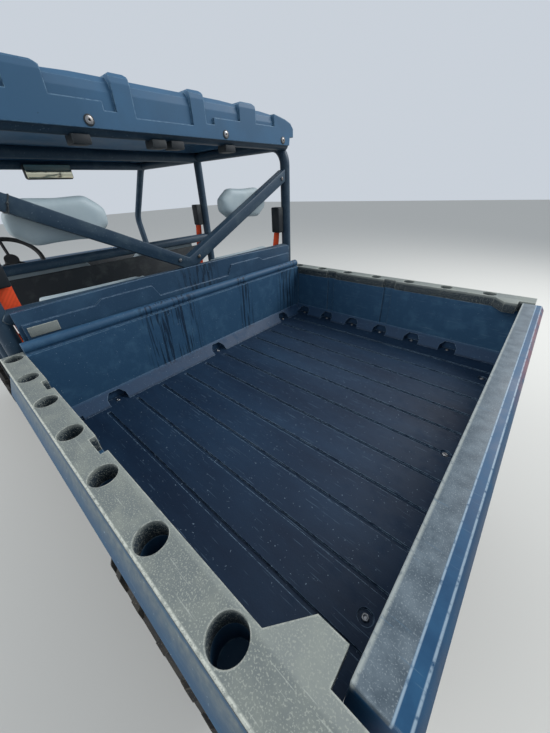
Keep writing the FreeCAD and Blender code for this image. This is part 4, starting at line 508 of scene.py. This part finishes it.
def slab(low, high, ease=0.003, segments=2):
    """A block between two corners, with its edges rounded over."""
    low, high = Vector(low), Vector(high)
    bpy.ops.object.select_all(action="DESELECT")
    bpy.ops.mesh.primitive_cube_add(size=1, location=(low + high) / 2, scale=high - low)
    piece = bpy.context.object
    bpy.ops.object.transform_apply(location=True, rotation=True, scale=True)
    easing = piece.modifiers.new("eased", "BEVEL")
    easing.width = ease
    easing.segments = segments
    apply_all(piece)
    return piece


def aim(piece, place, facing):
    """Stands a piece on a place, with its Z axis along facing."""
    piece.rotation_mode = "QUATERNION"
    piece.rotation_quaternion = Vector(facing).to_track_quat("Z", "Y")
    piece.location = place
    pick(piece)
    bpy.ops.object.transform_apply(location=True, rotation=True, scale=True)
    return piece


def copies(model, places):
    """One copy of the model at each (place, facing), as one piece."""
    made = []
    for place, facing in places:
        piece = model.copy()
        piece.data = model.data.copy()
        scene.collection.objects.link(piece)
        made.append(aim(piece, place, facing))
    bpy.data.objects.remove(model)
    return joined(made)


def merged_copy(node_name, flatten):
    """A copy of a CAD solid with its split vertices merged, to work on."""
    piece = bpy.data.objects.new("merged_copy", nodes[node_name].data.copy())
    scene.collection.objects.link(piece)
    work = bmesh.new()
    work.from_mesh(piece.data)
    bmesh.ops.remove_doubles(work, verts=work.verts, dist=1e-5)
    if flatten:
        bmesh.ops.dissolve_limit(work, angle_limit=math.radians(1), verts=work.verts,
                                 edges=work.edges)
    work.to_mesh(piece.data)
    work.free()
    return piece


def ring_of(centre, radius, degrees):
    """Places on a circle round an axis along Y."""
    x, y, z = centre
    return [(x + radius * math.cos(math.radians(a)), y, z + radius * math.sin(math.radians(a)))
            for a in degrees]


def wire(points, radius, closed=False):
    """A round wire through the points."""
    curve = bpy.data.curves.new("wire", "CURVE")
    curve.dimensions = "3D"
    curve.bevel_depth = radius
    curve.bevel_resolution = 2
    spline = curve.splines.new("POLY")
    spline.points.add(len(points) - 1)
    for target, point in zip(spline.points, points):
        target.co = (*point, 1)
    spline.use_cyclic_u = closed
    item = bpy.data.objects.new("wire", curve)
    scene.collection.objects.link(item)
    pick(item)
    bpy.ops.object.convert(target="MESH")
    return bpy.context.object


# %% [markdown]
# Big mouldings have rounded edges that catch the light, also in outline. Each of
# these is a merged copy of its solid whose edges get a real bevel, and the copy
# stands in for the solid.


# %% Mouldings with rounded edges
def eased(node_name, body, width):
    piece = merged_copy(node_name, flatten=True)
    easing = piece.modifiers.new("eased", "BEVEL")
    easing.width = width
    easing.segments = 2
    easing.angle_limit = math.radians(40)
    apply_all(piece)
    settle(piece, "eased_" + node_name, body, slot_of[node_name], 40, look_of[node_name])
    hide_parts(node_name)
    return piece


for name, body, width in (
    ("tailgate", "tailgate", 0.004), ("bed_rails", "bed", 0.003), ("hood", "hood", 0.006),
    ("front_fenders", "chassis", 0.006), ("dash", "chassis", 0.006), ("seat_bases", "chassis", 0.004),
    ("belt_retractors", "chassis", 0.006), ("tailgate_handle", "tailgate", 0.002),
    ("rear_brace", "chassis", 0.003),
):
    made = eased(name, body, width)
    print(made.name, len(made.data.polygons), "faces")

# %% [markdown]
# A foam seat is a crowned, closed form that pulls in between its corners. Each one
# starts as a copy of its plain solid, a little smaller, is remeshed into an even
# skin, and is then blown up a little as cloth, which gives the soft crown. How far
# a point may move is capped, so that the seat stays in its own space, and the
# skin is smoothed. The sewn channels come last, pressed in along the lines where
# the cover is stitched.


# %% Padded seats
shrink = 0.008
channel_half, channel_depth = 0.014, 0.006
past_solid = 0.003
cloth_frames = 20


def pad(node_name, voxel, cap, calm, channels):
    piece = merged_copy(node_name, flatten=False)
    low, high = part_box(node_name)
    middle, span = (low + high) / 2, high - low
    for vertex in piece.data.vertices:
        for axis in range(3):
            inset = 1 - 2 * shrink / span[axis]
            vertex.co[axis] = middle[axis] + (vertex.co[axis] - middle[axis]) * inset
    skin = piece.modifiers.new("skin", "REMESH")
    skin.mode = "VOXEL"
    skin.voxel_size = voxel * 1
    apply_all(piece)
    before = [vertex.co.copy() for vertex in piece.data.vertices]
    foam = piece.modifiers.new("foam", "CLOTH")
    foam.settings.use_pressure = True
    foam.settings.uniform_pressure_force = 4
    foam.settings.effector_weights.gravity = 0
    for step in range(1, cloth_frames + 1):
        scene.frame_set(step)
    apply_all(piece)
    scene.frame_set(1)
    for vertex, old in zip(piece.data.vertices, before):
        shift = vertex.co - old
        if shift.length > cap:
            vertex.co = old + shift.normalized() * cap
    settle_foam = piece.modifiers.new("settle_foam", "SMOOTH")
    settle_foam.iterations = calm
    apply_all(piece)
    for axis, place in channels:
        for vertex in piece.data.vertices:
            near = abs(abs(vertex.co[axis]) - place) / channel_half
            if near < 1:
                vertex.co -= vertex.normal * channel_depth * (1 - near * near)
    for vertex in piece.data.vertices:
        for axis in range(3):
            inner_limit, outer_limit = low[axis] - past_solid, high[axis] + past_solid
            vertex.co[axis] = min(max(vertex.co[axis], inner_limit), outer_limit)
    soften = piece.modifiers.new("soften", "SMOOTH")
    soften.iterations = 2
    apply_all(piece)
    settle(piece, "padded_" + node_name, "chassis", "seat_vinyl", 80)
    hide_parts(node_name)
    return piece


for name, voxel, cap, fill, calm, channels in (
    ("seat_cushion_front", 0.009, 0.012, 0.7, 8, ((1, 0.20),)),
    ("seat_cushion_rear", 0.009, 0.012, 0.7, 8, ((1, 0.20),)),
    ("seat_back_front", 0.009, 0.010, 0.6, 8, ((1, 0.20), (2, 1.10))),
    ("seat_back_rear", 0.009, 0.010, 0.6, 8, ((1, 0.20), (2, 1.10))),
    ("headrest_left", 0.006, 0.008, 0.7, 40, ()),
    ("headrest_right", 0.006, 0.008, 0.7, 40, ()),
):
    made = pad(name, voxel, cap, calm, channels)
    print(made.name, len(made.data.polygons), "faces")

# %% [markdown]
# Roof, bed and brace are held with small fasteners. A roof screw sits in a pale
# washer on a dark rubber ring, and a bed bolt is a bright ring round a dark
# socket. A lathe profile that comes back inward makes the socket's mouth.

# %% Roof screws and bed bolts
roof_spots = [((-0.5905, y, 1.780), (-1, 0, 0)) for y in (-0.64, -0.27, 0.27, 0.64)]
rings = copies(turned([(0.015, -0.001), (0.015, 0.0012), (0.012, 0.002)]), roof_spots)
settle(rings, "roof_rubber_rings", "chassis", "black_plastic")
washer = [(0.0115, 0), (0.0115, 0.0025), (0.008, 0.004), (0.0035, 0.0042), (0.003, 0.002)]
washers = copies(turned(washer), roof_spots)
settle(washers, "roof_washers", "chassis", "raw_steel")
upright, bolt_row = (0, 0, 1), (-0.504, 0, 0.504)
dish_height, recess_height = bed_floor_top - 0.008, bed_floor_top - 0.003
bed_spots = [((-1.720, y, dish_height), upright) for y in bolt_row]
bed_spots += [((-0.674, y, recess_height), upright) for y in bolt_row]
bed_spots += [((-0.717 - 0.166 * i, side * 0.668, recess_height), upright)
              for i in range(6) for side in (1, -1)]
socket = [(0.0075, -0.001), (0.0075, 0.002), (0.006, 0.0035), (0.004, 0.0035), (0.0035, 0.001)]
bolts = copies(turned(socket, 18), bed_spots)
settle(bolts, "bed_bolts", "bed", "raw_steel")
brace_slope = 0.485
brace_spots = [((-0.5735, side * y, 1.308 + brace_slope * y), (-1, 0, 0))
               for side in (1, -1) for y in (0.05, 0.645)]
plate_bolts = copies(turned([(0.008, 0), (0.008, 0.004), (0.006, 0.006)], 6), brace_spots)
settle(plate_bolts, "brace_bolts", "chassis", "raw_steel")
print("fasteners", len(roof_spots), len(bed_spots), len(brace_spots))

# %% [markdown]
# Under the roof's rear edge, black clamps hold it to the cross tube. A cable tie
# is drawn round the left arm of the brace, with its square head and a short tail.
# A blank rounded plate sits on the panel behind the cab.

# %% Clamps, cable tie and blank plate
clamps = [slab((-0.578, y - 0.028, 1.722), (-0.522, y + 0.028, 1.748), 0.004)
          for y in (-0.302, -0.038, 0.038, 0.302)]
settle(joined(clamps), "roof_clamps", "chassis", "black_plastic")
tie_middle = Vector((-0.55, 0.553, 1.5763))
tie_up = Vector((0, -0.436, 0.900))
half_x, half_up = 0.0242, 0.0254
corners = ((-1, -0.9), (-1, 0.9), (-0.9, 1), (0.9, 1), (1, 0.9), (1, -0.9), (0.9, -1), (-0.9, -1))
loop = [tie_middle + Vector((half_x * x, 0, 0)) + tie_up * half_up * z for x, z in corners]
tie = wire(loop, 0.0016, closed=True)
head_place = tie_middle + Vector((-half_x - 0.001, 0, 0))
head = slab(head_place - Vector((0.003, 0.003, 0.003)),
            head_place + Vector((0.003, 0.003, 0.004)), 0.001)
tail_bend, tail_end = Vector((-0.006, 0.004, -0.014)), Vector((-0.007, 0.010, -0.026))
tail = wire([head_place, head_place + tail_bend, head_place + tail_end], 0.0012)
settle(joined([tie, head, tail]), "brace_cable_tie", "chassis", "black_plastic")
plate = slab((-0.6005, 0.566, 1.205), (-0.597, 0.652, 1.238), 0.0015)
settle(plate, "blank_plate", "chassis", "raw_steel", look="rail_plastic")
print("clamps", len(clamps))

# %% [markdown]
# The inside mirror is a rounded black shell with silvered glass set into it. The
# shell stands in for the plain solid, and the glass is a thin slab in its mouth.

# %% Inside mirror
low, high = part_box("mirror")
shell = slab(low + Vector((0.004, 0, 0)), high, 0.014, 4)
settle(shell, "mirror_shell", "chassis", "black_plastic", 60)
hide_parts("mirror")
rim = 0.006
glass = slab((low.x, low.y + rim, low.z + rim), (low.x + 0.012, high.y - rim, high.z - rim), 0.005, 3)
settle(glass, "mirror_glass", "chassis", "mirror_glass", 60)
print("mirror", tuple(round(v, 3) for v in high - low))

# %% [markdown]
# Seat belts are woven straps, 46 mm wide, that run from each retractor down to
# the seat base. Each is a fine grid bent to a slight sag and twist, then given
# its thickness. A steel tongue rides on it, and a buckle stands by the seat.

# %% Belts, tongues and buckles
belt_width, belt_thickness = 0.046, 0.0018


def strap(upper, lower, side):
    bpy.ops.object.select_all(action="DESELECT")
    bpy.ops.mesh.primitive_grid_add(x_subdivisions=4, y_subdivisions=36, size=1, location=(0, 0, 0))
    piece = bpy.context.object
    for vertex in piece.data.vertices:
        share, across = vertex.co.y + 0.5, vertex.co.x * belt_width
        centre = upper.lerp(lower, share)
        sag = math.sin(math.pi * share)
        twist = 0.10 * math.sin(2 * math.pi * share)
        vertex.co = centre + Vector((0.005 * sag + across * twist, across, 0))
        vertex.co.y += side * 0.002 * math.sin(5 * math.pi * share)
    thick = piece.modifiers.new("thick", "SOLIDIFY")
    thick.thickness = belt_thickness
    thick.offset = 0
    apply_all(piece)
    return piece


straps, tongues, buckles, buttons = [], [], [], []
for place, top, seat_rear in ((-0.550, 1.3567, -0.395), (0.215, 1.3697, 0.370)):
    for side in (1, -1):
        upper = Vector((place + 0.0304, side * 0.6503, top))
        lower = Vector((place + 0.115, side * 0.6243, 0.692))
        straps.append(strap(upper, lower, side))
        hold = upper.lerp(lower, 0.35) + Vector((0.004, 0, 0))
        half = Vector((0.002, 0.030, 0.014))
        tongues.append(slab(hold - half, hold + half, 0.0015))
        foot = Vector((seat_rear, side * 0.20, 0.80))
        buckles.append(slab(foot - Vector((0.011, 0.016, 0)),
                            foot + Vector((0.011, 0.016, 0.085)), 0.004, 3))
        buttons.append(slab(foot + Vector((-0.006, -0.010, 0.080)),
                            foot + Vector((0.006, 0.010, 0.088)), 0.002))
belts = settle(joined(straps), "belt_straps", "chassis", "webbing")
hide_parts("seat_belts")
settle(joined(tongues), "belt_tongues", "chassis", "raw_steel")
settle(joined(buckles), "belt_buckles", "chassis", "black_plastic")
settle(joined(buttons), "belt_buttons", "chassis", "tail_lens")
print("belts", len(straps))

# %% [markdown]
# A damper is a slim tube with a rod in it, an eye at each end, and a coil spring
# between two cups. The tube and cups are one lathe profile laid along the damper,
# and the coil is a wire that winds round it.


# %% Dampers and coil springs
def coil(start, end, radius, thickness, turns):
    run = end - start
    along = run.normalized()
    across = along.orthogonal().normalized()
    other = along.cross(across)
    steps = turns * 14
    points = []
    for i in range(steps + 1):
        angle = 2 * math.pi * turns * i / steps
        spoke = across * math.cos(angle) + other * math.sin(angle)
        points.append(start + run * (i / steps) + spoke * radius)
    return wire(points, thickness)


damper_offset, rod, rod_start = 0.030, 0.0112, 0.012
damper_eye = [(0.0145, -0.020), (0.016, -0.018), (0.016, 0.018), (0.0145, 0.020),
              (0.009, 0.020), (0.009, 0.0215)]
tubes, coils = [], []
for axle, foot_height, head_height in ((front_axle, 0.2860, 0.655), (rear_axle, 0.2833, 0.7925)):
    for side in (1, -1):
        foot = Vector((axle + damper_offset, side * 0.455, foot_height))
        head = Vector((axle + damper_offset, side * 0.3413, head_height))
        length = (head - foot).length
        along = (head - foot).normalized()
        profile = [(rod, rod_start), (rod, 0.030), (0.018, 0.036), (0.018, 0.080), (0.029, 0.084),
                   (0.029, 0.088), (0.019, 0.092), (0.019, 0.55 * length),
                   (rod, 0.55 * length + 0.005), (rod, length - 0.094), (0.026, length - 0.091),
                   (0.029, length - 0.086), (0.014, length - 0.078), (rod, length - 0.030),
                   (rod, length - rod_start)]
        tubes.append(aim(turned(profile), foot, along))
        tubes += [aim(turned(damper_eye), end, (1, 0, 0)) for end in (foot, head)]
        coils.append(coil(foot + along * 0.094, head - along * 0.097, 0.0235, 0.0052, 7))
dampers = settle(joined(tubes), "damper_tubes", "chassis", "raw_steel")
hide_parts("shock_absorbers")
settle(joined(coils), "damper_springs", "chassis", "frame_steel")
print("dampers", len(coils))

# %% [markdown]
# Each wheel is held by four chamfered nuts round a pressed centre cap, with a
# rubber valve through the rim's disc. The cap is an open cup that clears the
# spindle's end, so it is a lathe profile with a wall.


# %% Wheel nuts, caps and valves
def cap_cup():
    piece = turned([(0.031, 0), (0.030, 0.014), (0.024, 0.020), (0.010, 0.022)], 32)
    work = bmesh.new()
    work.from_mesh(piece.data)
    open_end = [face for face in work.faces
                if len(face.verts) > 4 and face.calc_center_median().z < 0.001]
    bmesh.ops.delete(work, geom=open_end, context="FACES_ONLY")
    work.to_mesh(piece.data)
    work.free()
    wall = piece.modifiers.new("wall", "SOLIDIFY")
    wall.thickness = 0.002
    wall.offset = -1
    apply_all(piece)
    return piece


nut = [(0.0115, 0), (0.0115, 0.011), (0.0085, 0.015), (0.0045, 0.015), (0.004, 0.010)]
disc_face, nut_circle, valve_circle = 0.028, 0.058, 0.150
for corner, axle, half_track, side in (
    ("front_left", front_axle, front_half_track, 1), ("front_right", front_axle, front_half_track, -1),
    ("rear_left", rear_axle, rear_half_track, 1), ("rear_right", rear_axle, rear_half_track, -1),
):
    face, out = side * (half_track + disc_face), (0, side, 0)
    around = ring_of((axle, face, axle_height), nut_circle, (45, 135, 225, 315))
    nuts = copies(turned(nut, 6), [(place, out) for place in around])
    settle(nuts, "wheel_nuts_" + corner, "wheel_" + corner, "raw_steel", 25)
    cap = aim(cap_cup(), (axle, face, axle_height), out)
    settle(cap, "wheel_cap_" + corner, "wheel_" + corner, "black_plastic")
    valve = turned([(0.006, 0), (0.0055, 0.010), (0.004, 0.012), (0.004, 0.022), (0.003, 0.024)], 12)
    aim(valve, (axle, face, axle_height + valve_circle), out)
    settle(valve, "valve_" + corner, "wheel_" + corner, "tyre")
print("wheels dressed")

# %% [markdown]
# The wishbones turn on bolts along the vehicle. Each bush end shows a hexagon
# head with a flange.

# %% Pivot bolts of the wishbones
pivots = []
for axle in (front_axle, rear_axle):
    for side in (1, -1):
        for height in (0.505, 0.287):
            pivots += [((axle + way * 0.150, side * 0.3393, height), (way, 0, 0)) for way in (1, -1)]
head = [(0.013, 0), (0.013, 0.0015), (0.0095, 0.0015), (0.0095, 0.0075), (0.008, 0.0085)]
heads = copies(turned(head, 6), pivots)
settle(heads, "wishbone_bolts", "chassis", "raw_steel", 25)
print("pivot bolts", len(pivots))

# %% [markdown]
# The engine is one plain block in the solid model. Here it becomes a crankcase, a
# finned cylinder, a rounded head cover, round covers over the belt drive on the
# right and the generator on the left, and an oil filter beside the generator, all
# inside the same space.

# %% Engine
parts = [slab((-1.020, -0.165, 0.312), (-0.645, 0.165, 0.500), 0.022, 3),
         slab((-0.915, -0.075, 0.490), (-0.765, 0.075, 0.665), 0.010)]
fin_pitch = 0.018
parts += [slab((-0.940, -0.100, 0.508 + fin_pitch * i), (-0.740, 0.100, 0.514 + fin_pitch * i), 0.002)
          for i in range(8)]
parts.append(slab((-0.945, -0.105, 0.652), (-0.735, 0.105, 0.740), 0.020, 3))
belt_cover = [(0.128, 0), (0.128, 0.030), (0.112, 0.048), (0.090, 0.048), (0.084, 0.056),
              (0.040, 0.060)]
generator_cover = [(0.095, 0), (0.095, 0.030), (0.080, 0.046), (0.030, 0.052)]
oil_filter = [(0.034, 0), (0.036, 0.006), (0.036, 0.050), (0.030, 0.058)]
to_left, to_right_side = (0, 1, 0), (0, -1, 0)
for profile, sides, place, facing in (
    (belt_cover, 40, (-0.800, -0.160, 0.450), to_right_side),
    (generator_cover, 36, (-0.860, 0.160, 0.420), to_left),
    (oil_filter, 24, (-0.700, 0.160, 0.400), to_left),
):
    parts.append(aim(turned(profile, sides), place, facing))
engine = settle(joined(parts), "engine_dressed", "chassis", "cast")
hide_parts("engine")
cover_circle = ring_of((-0.800, -0.190, 0.450), 0.120, [30 + 60 * i for i in range(6)])
cover_bolts = copies(turned([(0.007, 0), (0.007, 0.005), (0.006, 0.006)], 6),
                     [(place, to_right_side) for place in cover_circle])
settle(cover_bolts, "engine_bolts", "chassis", "raw_steel", 25)
print("engine pieces", len(parts))

# %% [markdown]
# The dash carries a round gauge in front of the driver, a row of rocker switches
# and a gear lever. The gauge has a raised bezel, a ring of plain ticks and a
# needle. It carries no words.

# %% Gauge, switches and gear lever
slope = Vector((-0.929, 0, 0.370))
up_slope = Vector((0.370, 0, 0.929))
dial_place = Vector((0.9775, 0.42, 1.124))
bezel_profile = [(0.045, -0.004), (0.045, 0.010), (0.041, 0.013), (0.037, 0.013), (0.036, 0.006)]
bezel = aim(turned(bezel_profile, 40), dial_place, slope)
settle(bezel, "gauge_bezel", "chassis", "black_plastic")
ticks = []
for i in range(11):
    angle = math.radians(-130 + 26 * i)
    spoke = up_slope * math.cos(angle) + Vector((0, 1, 0)) * math.sin(angle)
    on_dial = dial_place + slope * 0.0068
    ticks.append(wire([on_dial + spoke * 0.026, on_dial + spoke * 0.033], 0.0007))
needle_foot = dial_place + slope * 0.008
ticks.append(wire([needle_foot, needle_foot + up_slope * 0.015 + Vector((0, 0.016, 0))], 0.0010))
settle(joined(ticks), "gauge_ticks", "chassis", "raw_steel")
rockers = []
for i in range(4):
    rocker = slab((-0.012, -0.019, -0.004), (0.012, 0.019, 0.006), 0.003)
    rockers.append(aim(rocker, (dial_place.x, 0.235 - 0.036 * i, dial_place.z), slope))
settle(joined(rockers), "rocker_switches", "chassis", "black_plastic", look="wheel_grip")
lever_side = 0.055
lever_bends = ((1.000, 1.050), (0.960, 1.070), (0.920, 1.110), (0.905, 1.150))
lever = wire([(x, lever_side, z) for x, z in lever_bends], 0.006)
settle(lever, "gear_lever", "chassis", "raw_steel")
knob = aim(turned([(0.010, 0), (0.019, 0.010), (0.021, 0.022), (0.017, 0.034), (0.008, 0.039)], 24),
           (0.907, lever_side, 1.140), (-0.3, 0, 1))
settle(knob, "gear_knob", "chassis", "wheel_grip", 60)
print("dash pieces", len(ticks) + len(rockers))

# %% [markdown]
# The lamps at the nose each have a dark bar above and below the lens.

# %% Lamp frames
bar_height = 0.008
lamp_low, lamp_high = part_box("headlamps")
bars = []
for side in (1, -1):
    inner, outer = sorted((side * 0.44, side * 0.60))
    for bar_low in (lamp_high.z - bar_height, lamp_low.z):
        bars.append(slab((lamp_high.x - 0.006, inner, bar_low),
                         (lamp_high.x + 0.003, outer, bar_low + bar_height), 0.002))
settle(joined(bars), "lamp_frames", "chassis", "black_plastic")
print("lamp bars", len(bars))
